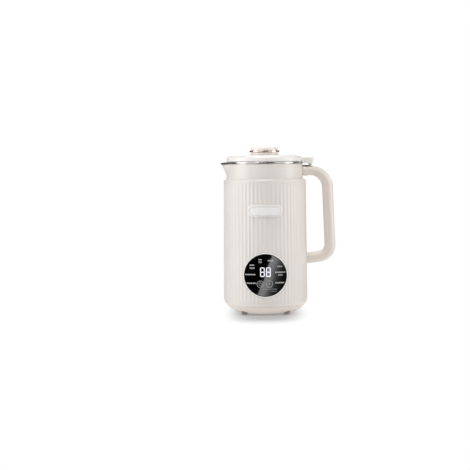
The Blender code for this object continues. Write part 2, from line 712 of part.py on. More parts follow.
def make_base_cover():
    outside = [(0, GROUND_CLEARANCE)] + lower_wall_arc(0, BASE_TOP)
    inside = lower_wall_arc(BASE_WALL, BASE_TOP)[::-1] + [(0, BASE_FLOOR)]
    mesh = turned_mesh("base_cover", outside + inside, LARGE_STEPS)
    cover = finished(add_mesh("base_cover", mesh), "cream_plastic")
    for number, (x, y, angle) in enumerate(post_places(), 1):
        boss_bottom = BASE_FLOOR - BASE_WALL / 2
        boss = rod_mesh(f"base_boss_{number}", POST_RADIUS, boss_bottom, BASE_TOP, SMALL_STEPS)
        join(cover, tool(f"base_boss_{number}", boss, (x, y, 0)))
        hole = rod_mesh(f"base_hole_{number}", SCREW_RADIUS + FIT, 0, BASE_TOP + OVERRUN, SMALL_STEPS)
        cut(cover, tool(f"base_hole_{number}", hole, (x, y, 0)))
        head = SCREW_HEAD_RADIUS + FIT
        pocket = rod_mesh(f"base_pocket_{number}", head, 0, BASE_SCREW_SEAT, SMALL_STEPS)
        cut(cover, tool(f"base_pocket_{number}", pocket, (x, y, 0)))
        screw = screw_mesh(f"base_screw_{number}", SCREW_GRIP)
        place = (x, y, BASE_SCREW_SEAT - FIT)
        finished(add_mesh(f"base_screw_{number}", screw, ROOT, place), "zinc_steel")
    foot_circle = BODY_RADIUS - BASE_ROUND + FOOT_CIRCLE_OUTSET
    for number, (x, y, angle) in enumerate(round_places(4, foot_circle, math.pi / 4), 1):
        ceiling = GROUND_CLEARANCE + FOOT_RECESS
        recess = rod_mesh(f"foot_recess_{number}", FOOT_RADIUS + FIT, 0, ceiling, SMALL_STEPS)
        cut(cover, tool(f"foot_recess_{number}", recess, (x, y, 0)))
        foot = rod_mesh(f"foot_{number}", FOOT_RADIUS, 0, ceiling - FIT, SMALL_STEPS)
        finished(add_mesh(f"foot_{number}", foot, ROOT, (x, y, 0)), "black_rubber")
    vents = round_places(VENT_COUNT, FAN_RADIUS, math.pi / VENT_COUNT)
    for number, (x, y, angle) in enumerate(vents, 1):
        low = (-VENT_LENGTH / 2, -VENT_WIDTH / 2, 0)
        high = (VENT_LENGTH / 2, VENT_WIDTH / 2, BASE_FLOOR + FIT)
        vent = box_mesh(f"vent_{number}", low, high)
        cut(cover, tool(f"vent_{number}", vent, (x, y, 0), angle))
    for side in (-1, 1):
        add_board_slot(cover, side)


def add_board_slot(cover, side):
    """An upright block with a groove that holds one lower corner of the power board."""
    middle = side * (POWER_BOARD_WIDTH / 2 - SLOT_INSET)
    thick = BOARD_THICKNESS / 2 + FIT
    low = (middle - SLOT_RIB, POWER_BOARD_Y - thick - SLOT_RIB, BASE_FLOOR - BASE_WALL / 4)
    high = (middle + SLOT_RIB, POWER_BOARD_Y + thick + SLOT_RIB, BASE_FLOOR + SLOT_HEIGHT)
    join(cover, tool(f"slot_block_{side}", box_mesh(f"slot_block_{side}", low, high)))
    low = (middle - SLOT_RIB - OVERRUN, POWER_BOARD_Y - thick, BASE_FLOOR + SLOT_RIB)
    high = (middle + SLOT_RIB + OVERRUN, POWER_BOARD_Y + thick, BASE_FLOOR + SLOT_HEIGHT + OVERRUN)
    cut(cover, tool(f"slot_groove_{side}", box_mesh(f"slot_groove_{side}", low, high)))


def spout_levels(top):
    """Heights up the neck at which its wall follows the spout's curve."""
    return [SPOUT_BOTTOM + (top - SPOUT_BOTTOM) * i / SPOUT_RINGS for i in range(SPOUT_RINGS + 1)]


def draw_spout(mesh):
    for vertex in mesh.vertices:
        x, y, z = vertex.co
        radius = math.hypot(x, y)
        if radius > LINER_RADIUS:
            stretch = 1 + spout_flare(math.atan2(y, x), z) / radius
            vertex.co.x *= stretch
            vertex.co.y *= stretch


def make_neck_collar():
    levels = spout_levels(COLLAR_TOP)
    outside = [(NECK_RADIUS, z) for z in levels[::-1]] + [
        (NECK_RADIUS, COLLAR_BOTTOM + COLLAR_LEDGE + COLLAR_LEDGE),
        (NECK_RADIUS + COLLAR_LEDGE, COLLAR_BOTTOM + COLLAR_LEDGE / 2),
        (NECK_RADIUS + COLLAR_LEDGE, COLLAR_BOTTOM),
        (NECK_RADIUS, COLLAR_BOTTOM),
        (NECK_RADIUS, COLLAR_BOTTOM - COLLAR_SKIRT),
    ]
    inside = [(COLLAR_BORE, COLLAR_BOTTOM - COLLAR_SKIRT)] + [(COLLAR_BORE, z) for z in levels]
    mesh = turned_mesh("neck_collar", outside + inside, LARGE_STEPS)
    draw_spout(mesh)
    collar = finished(add_mesh("neck_collar", mesh), "cream_plastic")
    low = (COLLAR_BORE + COLLAR_WALL / 2, -TONGUE_WIDTH / 2, TONGUE_BOTTOM)
    high = (TONGUE_END, TONGUE_WIDTH / 2, TONGUE_BOTTOM + TONGUE_HEIGHT)
    join(collar, tool("collar_tongue", box_mesh("collar_tongue", low, high)))
    bore = rod_mesh("tongue_bore", SCREW_RADIUS + FIT, ARM_UNDERSIDE, UPPER_SCREW_END + FIT, SMALL_STEPS)
    cut(collar, tool("tongue_bore", bore, (UPPER_SCREW_X, 0, 0)))


def make_inner_cup():
    levels = spout_levels(RIM_BOTTOM)
    rim = [
        (CUP_BORE, RIM_TOP),
        (RIM_RADIUS - RIM_ROUND, RIM_TOP),
        (RIM_RADIUS, RIM_TOP - RIM_ROUND),
        (RIM_RADIUS, RIM_BOTTOM + RIM_ROUND),
        (RIM_RADIUS - RIM_ROUND, RIM_BOTTOM),
    ]
    outer_wall = [(CUP_RADIUS, z) for z in levels[::-1]]
    outer_corner = arc(CUP_RADIUS - CUP_CORNER, CUP_BOTTOM + CUP_CORNER, CUP_CORNER, 0, -math.pi / 2)
    floor = [(SEAT_NECK_RADIUS + FIT, CUP_BOTTOM), (SEAT_NECK_RADIUS + FIT, CUP_FLOOR)]
    inner_radius = CUP_CORNER - CUP_WALL
    inner_corner = arc(CUP_RADIUS - CUP_CORNER, CUP_BOTTOM + CUP_CORNER, inner_radius, -math.pi / 2, 0)
    inner_wall = [(CUP_BORE, z) for z in levels]
    mesh = turned_mesh(
        "inner_cup", rim + outer_wall + outer_corner + floor + inner_corner + inner_wall, LARGE_STEPS
    )
    draw_spout(mesh)
    finished(add_mesh("inner_cup", mesh), "polished_steel")


def make_lid():
    edge = arc(LID_RADIUS - LID_ROUND, LID_TOP - LID_ROUND, LID_ROUND, math.pi / 2, 0, 2)
    profile = (
        [(SCREW_RADIUS + FIT, LID_CEILING), (SCREW_RADIUS + FIT, LID_TOP)]
        + edge
        + [
            (LID_RADIUS, LID_BOTTOM),
            (LID_RADIUS - LID_WALL, LID_BOTTOM),
            (LID_RADIUS - LID_WALL, LID_CEILING),
        ]
    )
    lid = turned("lid_cover", profile, LARGE_STEPS, "cream_plastic", LID_AXIS)
    half = TAB_WIDTH / 2
    low = (LID_RADIUS - LID_WALL - LID_WALL / 2, -half, LID_CEILING - TAB_STEP)
    join(lid, tool("tab_beam", box_mesh("tab_beam", low, (TAB_END, half, TAB_TOP))))
    low = (RIM_RADIUS + TAB_CLEARANCE, -half, TAB_BOTTOM)
    join(lid, tool("tab_hanging", box_mesh("tab_hanging", low, (TAB_END, half, TAB_TOP))))
    cam = rod_mesh("tab_cam", TAB_CAM_RADIUS, CAM_BOTTOM, TAB_TOP - LID_WALL / 2, SMALL_STEPS)
    join(lid, tool("tab_cam", cam, (SWITCH_X, 0, 0)))

    make_lid_liner()
    seal_bottom = LINER_BOTTOM + RIDGE_HEIGHT + FIT
    seal = ring_profile(
        LINER_RADIUS + FIT, CUP_BORE - SEAL_CLEARANCE, seal_bottom, seal_bottom + SEAL_HEIGHT
    )
    turned("lid_seal", seal, LARGE_STEPS, "silicone", LID_AXIS)


def make_lid_liner():
    ridge = LINER_RADIUS + RIDGE_REACH
    lower_ridge_top = LINER_BOTTOM + RIDGE_HEIGHT
    upper_ridge_bottom = lower_ridge_top + SEAL_HEIGHT + FIT + FIT
    profile = [
        (0, LINER_BOTTOM),
        (ridge, LINER_BOTTOM),
        (ridge, lower_ridge_top),
        (LINER_RADIUS, lower_ridge_top),
        (LINER_RADIUS, upper_ridge_bottom),
        (ridge, upper_ridge_bottom),
        (ridge, upper_ridge_bottom + RIDGE_HEIGHT),
        (LINER_RADIUS, upper_ridge_bottom + RIDGE_HEIGHT),
        (LINER_RADIUS, LINER_TOP),
        (LINER_RADIUS - LINER_WALL, LINER_TOP),
        (LINER_RADIUS - LINER_WALL, LINER_BOTTOM + LINER_WALL),
        (0, LINER_BOTTOM + LINER_WALL),
    ]
    turned("lid_liner", profile, LARGE_STEPS, "cream_plastic", LID_AXIS)


def make_knob():
    bore_top = LID_CEILING + KNOB_SCREW_LENGTH + FIT
    base = [
        (SCREW_RADIUS + FIT, KNOB_BOTTOM),
        (KNOB_BASE_RADIUS - KNOB_ROUND, KNOB_BOTTOM),
        (KNOB_BASE_RADIUS, KNOB_BOTTOM + KNOB_ROUND),
        (KNOB_BASE_RADIUS, KNOB_BASE_TOP),
        (KNOB_SPIGOT_RADIUS, KNOB_BASE_TOP),
        (KNOB_SPIGOT_RADIUS, KNOB_RING_TOP),
        (0, KNOB_RING_TOP),
        (0, bore_top),
        (SCREW_RADIUS + FIT, bore_top),
    ]
    turned("knob_base", base, MOTOR_STEPS, "cream_plastic", LID_AXIS)
    chamfer = KNOB_RING_HEIGHT / 4
    ring = [
        (KNOB_SPIGOT_RADIUS + FIT, KNOB_RING_BOTTOM),
        (KNOB_RING_RADIUS - chamfer, KNOB_RING_BOTTOM),
        (KNOB_RING_RADIUS, KNOB_RING_BOTTOM + chamfer),
        (KNOB_RING_RADIUS, KNOB_RING_TOP - chamfer),
        (KNOB_RING_RADIUS - chamfer, KNOB_RING_TOP),
        (KNOB_SPIGOT_RADIUS + FIT, KNOB_RING_TOP),
    ]
    turned("knob_ring", ring, MOTOR_STEPS, "copper_plate", LID_AXIS)
    cap_top = KNOB_CAP_BOTTOM + KNOB_CAP_HEIGHT
    edge = arc(KNOB_CAP_RADIUS - KNOB_ROUND, cap_top - KNOB_ROUND, KNOB_ROUND, 0, math.pi / 2, 2)
    cap = [(0, KNOB_CAP_BOTTOM), (KNOB_CAP_RADIUS, KNOB_CAP_BOTTOM)] + edge + [(0, cap_top)]
    turned("knob_cap", cap, MOTOR_STEPS, "cream_plastic", LID_AXIS)
    screw = screw_mesh("knob_screw", KNOB_SCREW_LENGTH)
    place = (0, 0, LID_CEILING - FIT)
    finished(add_mesh("knob_screw", screw, LID_AXIS, place), "zinc_steel")


def handle_section(thickness, side, inset):
    """(across, outwards) points of one half of the handle's section, from one seam edge to the other.
    side is 1 for the outer half and -1 for the inner."""
    half_width = HANDLE_WIDTH / 2 - inset
    reach = thickness / 2 - inset
    corner = HANDLE_CORNER - inset
    points = [(half_width, side * FIT / 2)]
    for across in (1, -1):
        angles = [0, math.pi / 4, math.pi / 2]
        for angle in angles if across > 0 else angles[::-1]:
            y = across * (half_width - corner + corner * math.cos(angle))
            points.append((y, side * (reach - corner + corner * math.sin(angle))))
    points.append((-half_width, side * FIT / 2))
    return points


def make_handle_half(name, side):
    rings = []
    for x, z, heading, thickness in HANDLE_PATH:
        outline = handle_section(thickness, side, 0)
        outline += handle_section(thickness, side, HANDLE_WALL)[::-1]
        rings.append(
            [(x - out * math.sin(heading), y, z + out * math.cos(heading)) for y, out in outline]
        )
    half = finished(add_mesh(name, loft_mesh(name, rings)), "handle_plastic")
    neck = rod_mesh(f"{name}_neck_cut", NECK_RADIUS + FIT, COLLAR_BOTTOM, COLLAR_TOP, LARGE_STEPS)
    cut(half, tool(f"{name}_neck_cut", neck))
    low_z = LOWER_ARM_Z - LOWER_ARM_THICKNESS
    low_radius = crest_radius(low_z) + FIT
    body = rod_mesh(
        f"{name}_body_cut", low_radius, low_z, LOWER_ARM_Z + LOWER_ARM_THICKNESS, SHELL_STEPS
    )
    cut(half, tool(f"{name}_body_cut", body))
    return half


def make_handle():
    outer = make_handle_half("handle_outer_shell", 1)
    plunger_hole = rod_mesh("plunger_hole", PLUNGER_RADIUS + FIT, ARM_Z, COLLAR_TOP, SMALL_STEPS)
    cut(outer, tool("plunger_hole", plunger_hole, (SWITCH_X, 0, 0)))

    inner = make_handle_half("handle_inner_shell", -1)
    floor = ARM_UNDERSIDE + HANDLE_WALL
    low = (NECK_RADIUS + FIT + FIT, -PAD_WIDTH / 2, floor - HANDLE_WALL / 2)
    pad = box_mesh("screw_pad", low, (TONGUE_END, PAD_WIDTH / 2, floor + PAD_HEIGHT))
    join(inner, tool("screw_pad", pad))
    seat = floor + PAD_HEIGHT - PAD_FLOOR
    pocket = rod_mesh("pad_pocket", SCREW_HEAD_RADIUS + FIT, ARM_UNDERSIDE - OVERRUN, seat, SMALL_STEPS)
    cut(inner, tool("pad_pocket", pocket, (UPPER_SCREW_X, 0, 0)))
    hole = rod_mesh("pad_hole", SCREW_RADIUS + FIT, ARM_UNDERSIDE, TONGUE_BOTTOM, SMALL_STEPS)
    cut(inner, tool("pad_hole", hole, (UPPER_SCREW_X, 0, 0)))
    upper_screw = screw_mesh("handle_screw_upper", UPPER_SCREW_END - seat)
    place = (UPPER_SCREW_X, 0, seat - FIT)
    finished(add_mesh("handle_screw_upper", upper_screw, ROOT, place), "zinc_steel")

    ceiling = LOWER_ARM_Z + LOWER_ARM_THICKNESS / 2 - HANDLE_WALL / 2
    low = (END_PLATE_START, -END_PLATE_WIDTH / 2, LOWER_ARM_Z - LOWER_ARM_THICKNESS / 4)
    high = (END_PLATE_START + END_PLATE_THICKNESS, END_PLATE_WIDTH / 2, ceiling)
    join(inner, tool("end_plate", box_mesh("end_plate", low, high)))
    reach = END_PLATE_START + END_PLATE_THICKNESS + OVERRUN
    hole = rod_mesh("end_plate_hole", SCREW_RADIUS + FIT, BODY_RADIUS, reach, SMALL_STEPS, "X")
    cut(inner, tool("end_plate_hole", hole, (0, 0, LOWER_ARM_Z)))
    seat = LOWER_SCREW_SEAT * math.cos(math.asin(SCREW_HEAD_RADIUS / LOWER_SCREW_SEAT)) - FIT
    lower_screw = screw_mesh("handle_screw_lower", reach - OVERRUN / 2 - seat)
    lower_screw.transform(Matrix.Rotation(math.pi / 2, 4, "Y"))
    place = (seat, 0, LOWER_ARM_Z)
    finished(add_mesh("handle_screw_lower", lower_screw, ROOT, place), "zinc_steel")


def make_interlock():
    low = (SWITCH_X - SWITCH_WIDTH / 2, -SWITCH_LENGTH / 2, SWITCH_BOTTOM)
    high = (SWITCH_X + SWITCH_WIDTH / 2, SWITCH_LENGTH / 2, SWITCH_BOTTOM + SWITCH_HEIGHT)
    box("micro_switch", low, high, "dark_plastic")
    bottom = SWITCH_BOTTOM + SWITCH_HEIGHT + FIT
    collar = PLUNGER_RADIUS + PLUNGER_FOOT
    profile = [
        (0, bottom),
        (collar, bottom),
        (collar, bottom + PLUNGER_FOOT / 2),
        (PLUNGER_RADIUS, bottom + PLUNGER_FOOT / 2),
        (PLUNGER_RADIUS, CAM_BOTTOM - FIT),
        (0, CAM_BOTTOM - FIT),
    ]
    turned("interlock_plunger", profile, SMALL_STEPS, "dark_plastic", PLUNGER_AXIS)


def disc_front(name, radius, face, back):
    """A round piece whose axis is the panel's and whose front follows the body's cylinder."""
    depth = BEZEL_FACE + OVERRUN
    disc = rod_mesh(name, radius, -depth, -back, LARGE_STEPS, "Y")
    piece = add_mesh(name, disc, ROOT, (0, 0, DISPLAY_Z))
    tall = DISPLAY_RADIUS + BEZEL_WIDTH + OVERRUN
    cylinder = rod_mesh(f"{name}_face", face, DISPLAY_Z - tall, DISPLAY_Z + tall, FACE_STEPS)
    return combine(piece, tool(f"{name}_face", cylinder), "INTERSECT")


def make_display():
    panel = finished(disc_front("display_panel", DISPLAY_RADIUS, PANEL_FACE, PANEL_BACK), "black_gloss")
    tall = DISPLAY_RADIUS + OVERRUN
    hollow = rod_mesh(
        "panel_hollow", PANEL_FACE - PANEL_THICKNESS, DISPLAY_Z - tall, DISPLAY_Z + tall, FACE_STEPS
    )
    cut(panel, tool("panel_hollow", hollow))

    bezel = finished(disc_front("display_bezel", BEZEL_RADIUS, BEZEL_FACE, BEZEL_BACK), "cream_plastic")
    depth = BEZEL_FACE + OVERRUN
    bore = rod_mesh("bezel_bore", DISPLAY_RADIUS + FIT, -depth, -LEDGE_FRONT, LARGE_STEPS, "Y")
    cut(bezel, tool("bezel_bore", bore, (0, 0, DISPLAY_Z)))
    window = rod_mesh("bezel_window", DISPLAY_RADIUS - BEZEL_LEDGE, -depth, 0, LARGE_STEPS, "Y")
    cut(bezel, tool("bezel_window", window, (0, 0, DISPLAY_Z)))

    board = rod_mesh("control_board", BOARD_RADIUS, -BOARD_FRONT, -BOARD_BACK, MOTOR_STEPS, "Y")
    finished(add_mesh("control_board", board, ROOT, (0, 0, DISPLAY_Z)), "board_green")
    half = DIGITS_WIDTH / 2
    front = math.sqrt((PANEL_FACE - PANEL_THICKNESS) ** 2 - half**2) - FIT
    middle = DISPLAY_Z + DIGITS_RISE
    low = (-half, -front, middle - DIGITS_HEIGHT / 2)
    box("digit_module", low, (half, -BOARD_FRONT - FIT, middle + DIGITS_HEIGHT / 2), "display_white")


def make_name_plate():
    """A plate bent to the body, with rounded corners."""
    bottom = crest_radius(PLATE_Z - PLATE_HEIGHT / 2) + FIT
    ring = turned_mesh(
        "name_plate",
        ring_profile(bottom, bottom + PLATE_THICKNESS, PLATE_Z - PLATE_HEIGHT, PLATE_Z + PLATE_HEIGHT),
        FACE_STEPS,
    )
    plate = finished(add_mesh("name_plate", ring), "pale_plate")
    across = PLATE_WIDTH / 2 - PLATE_CORNER
    along = PLATE_HEIGHT / 2 - PLATE_CORNER
    outline = []
    corners = ((across, along), (-across, along), (-across, -along), (across, -along))
    for turn, (x, z) in enumerate(corners):
        start = turn * math.pi / 2
        outline += arc(x, PLATE_Z + z, PLATE_CORNER, start, start + math.pi / 2)
    rings = [[(x, y, z) for x, z in outline] for y in (-BODY_RADIUS - OVERRUN, -BODY_RADIUS / 2)]
    block = tool("name_plate_outline", loft_mesh("name_plate_outline", rings))
    combine(plate, block, "INTERSECT")


def make_inlet():
    low = (-INLET_WIDTH / 2, INLET_BACK, INLET_Z - INLET_HEIGHT / 2)
    high = (INLET_WIDTH / 2, INLET_FACE, INLET_Z + INLET_HEIGHT / 2)
    inlet = box("power_inlet", low, high, "dark_plastic")
    low = (low[0] + SOCKET_MARGIN, SOCKET_FLOOR, low[2] + SOCKET_MARGIN)
    high = (high[0] - SOCKET_MARGIN, INLET_FACE + OVERRUN, high[2] - SOCKET_MARGIN)
    cut(inlet, tool("socket", box_mesh("socket", low, high)))
    for number, (x, z) in enumerate(((-PIN_PITCH, 0), (0, PIN_WIDTH / 2), (PIN_PITCH, 0)), 1):
        place = (x, SOCKET_FLOOR - PIN_SEAT, INLET_Z + z)
        half_x = PIN_THICKNESS / 2
        half_z = PIN_WIDTH / 2
        low = (-half_x - FIT, 0, -half_z - FIT)
        high = (half_x + FIT, PIN_SEAT + OVERRUN, half_z + FIT)
        cut(inlet, tool(f"pin_hole_{number}", box_mesh(f"pin_hole_{number}", low, high), place))
        low = (-half_x, FIT, -half_z)
        pin = box_mesh(f"inlet_pin_{number}", low, (half_x, PIN_SEAT + PIN_LENGTH, half_z))
        finished(add_mesh(f"inlet_pin_{number}", pin, ROOT, place), "brass")
    bottom = BASE_FLOOR + SLOT_RIB + FIT
    half = POWER_BOARD_WIDTH / 2
    thick = BOARD_THICKNESS / 2
    low = (-half, POWER_BOARD_Y - thick, bottom)
    box("power_board", low, (half, POWER_BOARD_Y + thick, bottom + POWER_BOARD_HEIGHT), "board_green")


def make_chassis():
    profile = [
        (CHASSIS_HOLE, CHASSIS_BOTTOM),
        (CHASSIS_RADIUS, CHASSIS_BOTTOM),
        (CHASSIS_RADIUS, CHASSIS_TOP),
        (RING_BORE + CHASSIS_RING_WALL, CHASSIS_TOP),
        (RING_BORE + CHASSIS_RING_WALL, CHASSIS_RING_TOP),
        (RING_BORE, CHASSIS_RING_TOP),
        (RING_BORE, CHASSIS_TOP),
        (CHASSIS_HOLE, CHASSIS_TOP),
    ]
    chassis = turned("chassis", profile, LARGE_STEPS, "dark_plastic")
    low = (-CHASSIS_RADIUS, -CHASSIS_RADIUS - OVERRUN, CHASSIS_BOTTOM - OVERRUN)
    high = (CHASSIS_RADIUS, -BOARD_BACK + FIT, CHASSIS_RING_TOP + OVERRUN)
    cut(chassis, tool("chassis_flat", box_mesh("chassis_flat", low, high)))
    plate_top = CUP_BOTTOM - FIT
    plate_bottom = plate_top - HEAT_PLATE_THICKNESS
    plate = ring_profile(HEAT_PLATE_BORE, HEAT_PLATE_RADIUS, plate_bottom, plate_top)
    turned("heat_plate", plate, LARGE_STEPS, "aluminium")
    make_heater_tube(plate_bottom - FIT - HEATER_TUBE_RADIUS)
    below_plate = plate_bottom - FIT
    above_chassis = CHASSIS_TOP + FIT
    heater_inside = HEATER_RADIUS - HEATER_TUBE_RADIUS
    thermostat_x = heater_inside - HEATER_CLEARANCE - THERMOSTAT_RADIUS
    thermostat = rod_mesh("thermostat", THERMOSTAT_RADIUS, above_chassis, below_plate, SMALL_STEPS)
    finished(add_mesh("thermostat", thermostat, ROOT, (thermostat_x, 0, 0)), "phenolic")
    sensor_x = (HEATER_RADIUS + HEATER_TUBE_RADIUS + RING_BORE) / 2
    sensor = rod_mesh("temperature_sensor", SENSOR_RADIUS, above_chassis, below_plate, SMALL_STEPS)
    finished(add_mesh("temperature_sensor", sensor, ROOT, (-sensor_x, 0, 0)), "zinc_steel")


def make_heater_tube(level):
    """A round heating element under the plate, open over a gap where its two ends stand."""
    curve = bpy.data.curves.new("heater_tube", "CURVE")
    curve.dimensions = "3D"
    curve.bevel_depth = HEATER_TUBE_RADIUS
    curve.bevel_resolution = 2
    curve.use_fill_caps = True
    path = curve.splines.new("POLY")
    path.points.add(HEATER_STEPS)
    for i, point in enumerate(path.points):
        angle = HEATER_GAP_ANGLE / 2 + (math.tau - HEATER_GAP_ANGLE) * i / HEATER_STEPS
        point.co = (HEATER_RADIUS * math.cos(angle), HEATER_RADIUS * math.sin(angle), level, 1)
    tube = bpy.data.objects.new("heater_tube", curve)
    PARTS.objects.link(tube)
    tube.parent = ROOT
    finished(tube, "motor_steel")


def make_motor():
    hub_outer = BEARING_RADIUS + FIT + HUB_WALL
    turned(
        "motor_stator",
        ring_profile(STATOR_BORE, MOTOR_RADIUS, STATOR_BOTTOM, STATOR_TOP),
        MOTOR_STEPS,
        "motor_steel",
    )
    bracket_top = LOWER_BRACKET_BOTTOM + LOWER_BRACKET_HEIGHT
    bearing_hole = BEARING_RADIUS + FIT
    shaft_hole = SHAFT_RADIUS + AIR_GAP
    lower = [
        (shaft_hole, LOWER_BRACKET_BOTTOM),
        (MOTOR_RADIUS, LOWER_BRACKET_BOTTOM),
        (MOTOR_RADIUS, bracket_top),
        (BRACKET_BORE, bracket_top),
        (BRACKET_BORE, LOWER_BRACKET_BOTTOM + BRACKET_PLATE),
        (hub_outer, LOWER_BRACKET_BOTTOM + BRACKET_PLATE),
        (hub_outer, LOWER_BEARING_BOTTOM + BEARING_HEIGHT),
        (bearing_hole, LOWER_BEARING_BOTTOM + BEARING_HEIGHT),
        (bearing_hole, LOWER_BRACKET_BOTTOM + BEARING_LIP),
        (shaft_hole, LOWER_BRACKET_BOTTOM + BEARING_LIP),
    ]
    turned("motor_lower_bracket", lower, MOTOR_STEPS, "dark_plastic")
    upper = [
        (shaft_hole, UPPER_BRACKET_TOP),
        (MOTOR_RADIUS, UPPER_BRACKET_TOP),
        (MOTOR_RADIUS, UPPER_BRACKET_BOTTOM),
        (BRACKET_BORE, UPPER_BRACKET_BOTTOM),
        (BRACKET_BORE, UPPER_BRACKET_TOP - BRACKET_PLATE),
        (hub_outer, UPPER_BRACKET_TOP - BRACKET_PLATE),
        (hub_outer, UPPER_BEARING_BOTTOM),
        (bearing_hole, UPPER_BEARING_BOTTOM),
        (bearing_hole, UPPER_BRACKET_TOP - BEARING_LIP),
        (shaft_hole, UPPER_BRACKET_TOP - BEARING_LIP),
    ]
    turned("motor_upper_bracket", upper, MOTOR_STEPS, "dark_plastic")
    bearings = (("lower_bearing", LOWER_BEARING_BOTTOM), ("upper_bearing", UPPER_BEARING_BOTTOM))
    for name, bottom in bearings:
        profile = ring_profile(SHAFT_RADIUS + FIT, BEARING_RADIUS, bottom, bottom + BEARING_HEIGHT)
        turned(name, profile, MOTOR_STEPS, "zinc_steel")
    damper_bore = CHASSIS_HOLE + BRACKET_WALL
    damper_radius = damper_bore + DAMPER_WALL
    damper = ring_profile(damper_bore, damper_radius, DAMPER_BOTTOM, DAMPER_BOTTOM + DAMPER_HEIGHT)
    turned("motor_damper", damper, MOTOR_STEPS, "black_rubber")
    inner_end = COMMUTATOR_RADIUS + BRUSH_GAP
    outer_end = BRACKET_BORE * math.cos(math.asin(BRUSH_WIDTH / 2 / BRACKET_BORE)) - FIT
    for number, side in enumerate((1, -1), 1):
        ends = sorted((side * inner_end, side * outer_end))
        low = (ends[0], -BRUSH_WIDTH / 2, BRUSH_BOTTOM)
        high = (ends[1], BRUSH_WIDTH / 2, BRUSH_BOTTOM + BRUSH_HEIGHT)
        box(f"brush_holder_{number}", low, high, "brass")


def make_drive():
    shaft = [
        (0, SHAFT_BOTTOM),
        (SHAFT_RADIUS, SHAFT_BOTTOM),
        (SHAFT_RADIUS, SHAFT_SHOULDER),
        (SHAFT_TIP_RADIUS, SHAFT_SHOULDER),
        (SHAFT_TIP_RADIUS, SHAFT_TOP),
        (0, SHAFT_TOP),
    ]
    turned("drive_shaft", shaft, SMALL_STEPS, "polished_steel", DRIVE_AXIS)
    bore = SHAFT_RADIUS + FIT
    bottom = STATOR_BOTTOM + ARMATURE_INSET
    armature = ring_profile(bore, ARMATURE_RADIUS, bottom, STATOR_TOP - ARMATURE_INSET)
    turned("armature_core", armature, MOTOR_STEPS, "copper", DRIVE_AXIS)
    bottom = BRUSH_BOTTOM - BRUSH_GAP
    commutator = ring_profile(bore, COMMUTATOR_RADIUS, bottom, bottom + COMMUTATOR_HEIGHT)
    turned("commutator", commutator, MOTOR_STEPS, "copper", DRIVE_AXIS)
    make_fan(bore)
    make_blade("blade_lower", LOWER_BLADE_BOTTOM, LOWER_BLADE_BEND, 0)
    make_blade("blade_upper", UPPER_BLADE_BOTTOM, UPPER_BLADE_BEND, math.pi / 2)
    nut_bore = SHAFT_TIP_RADIUS + FIT
    nut_top = BLADE_NUT_BOTTOM + BLADE_NUT_HEIGHT
    nut = [
        (nut_bore, BLADE_NUT_BOTTOM),
        (BLADE_NUT_RADIUS, BLADE_NUT_BOTTOM),
        (BLADE_NUT_RADIUS, nut_top - BLADE_NUT_TOP),
        (nut_bore, nut_top),
        (0, nut_top),
        (0, SHAFT_TOP + FIT),
        (nut_bore, SHAFT_TOP + FIT),
    ]
    turned("blade_nut", nut, SMALL_STEPS, "polished_steel", DRIVE_AXIS)


def make_fan(bore):
    """A disc on a hub, with upright blades under it."""
    disc_bottom = FAN_TOP - FAN_DISC
    profile = [
        (bore, FAN_BOTTOM),
        (FAN_HUB_RADIUS, FAN_BOTTOM),
        (FAN_HUB_RADIUS, disc_bottom),
        (FAN_RADIUS, disc_bottom),
        (FAN_RADIUS, FAN_TOP),
        (bore, FAN_TOP),
    ]
    fan = turned("cooling_fan", profile, MOTOR_STEPS, "dark_plastic", DRIVE_AXIS)
    low = (FAN_HUB_RADIUS - FAN_DISC / 2, -FAN_DISC / 4, FAN_BOTTOM + FAN_DISC / 2)
    high = (FAN_RADIUS - FAN_DISC / 2, FAN_DISC / 4, disc_bottom + FAN_DISC / 2)
    for number, (x, y, angle) in enumerate(round_places(FAN_BLADE_COUNT, 0), 1):
        blade = box_mesh(f"fan_blade_{number}", low, high)
        join(fan, tool(f"fan_blade_{number}", blade, (0, 0, 0), angle))


def make_blade(name, bottom, bend, turn):
    """A two-armed steel blade, flat round the shaft, with its arms bent up or down."""
    rings = []
    for side, distance_share in BLADE_STATION_SHARES:
        distance = distance_share * BLADE_RADIUS
        past_flat = max(0, (distance - BLADE_FLAT) / (BLADE_RADIUS - BLADE_FLAT))
        half = (BLADE_WIDTH + (BLADE_TIP_WIDTH - BLADE_WIDTH) * past_flat) / 2
        z = bottom + bend * past_flat
        top = z + BLADE_THICKNESS
        x = side * distance
        rings.append([(x, -half, z), (x, half, z), (x, half, top), (x, -half, top)])
    mesh = loft_mesh(name, rings)
    mesh.transform(Matrix.Rotation(turn, 4, "Z"))
    blade = finished(add_mesh(name, mesh, DRIVE_AXIS), "polished_steel")
    radius = SHAFT_TIP_RADIUS + FIT
    hole = rod_mesh(f"{name}_hole", radius, bottom - OVERRUN, bottom + OVERRUN, SMALL_STEPS)
    cut(blade, tool(f"{name}_hole", hole))


BLADE_FLAT_SHARE = BLADE_FLAT / BLADE_RADIUS
BLADE_STATION_SHARES = (
    (-1, 1),
    (-1, (1 + BLADE_FLAT_SHARE) / 2),
    (-1, BLADE_FLAT_SHARE),
    (1, BLADE_FLAT_SHARE),
    (1, (1 + BLADE_FLAT_SHARE) / 2),
    (1, 1),
)


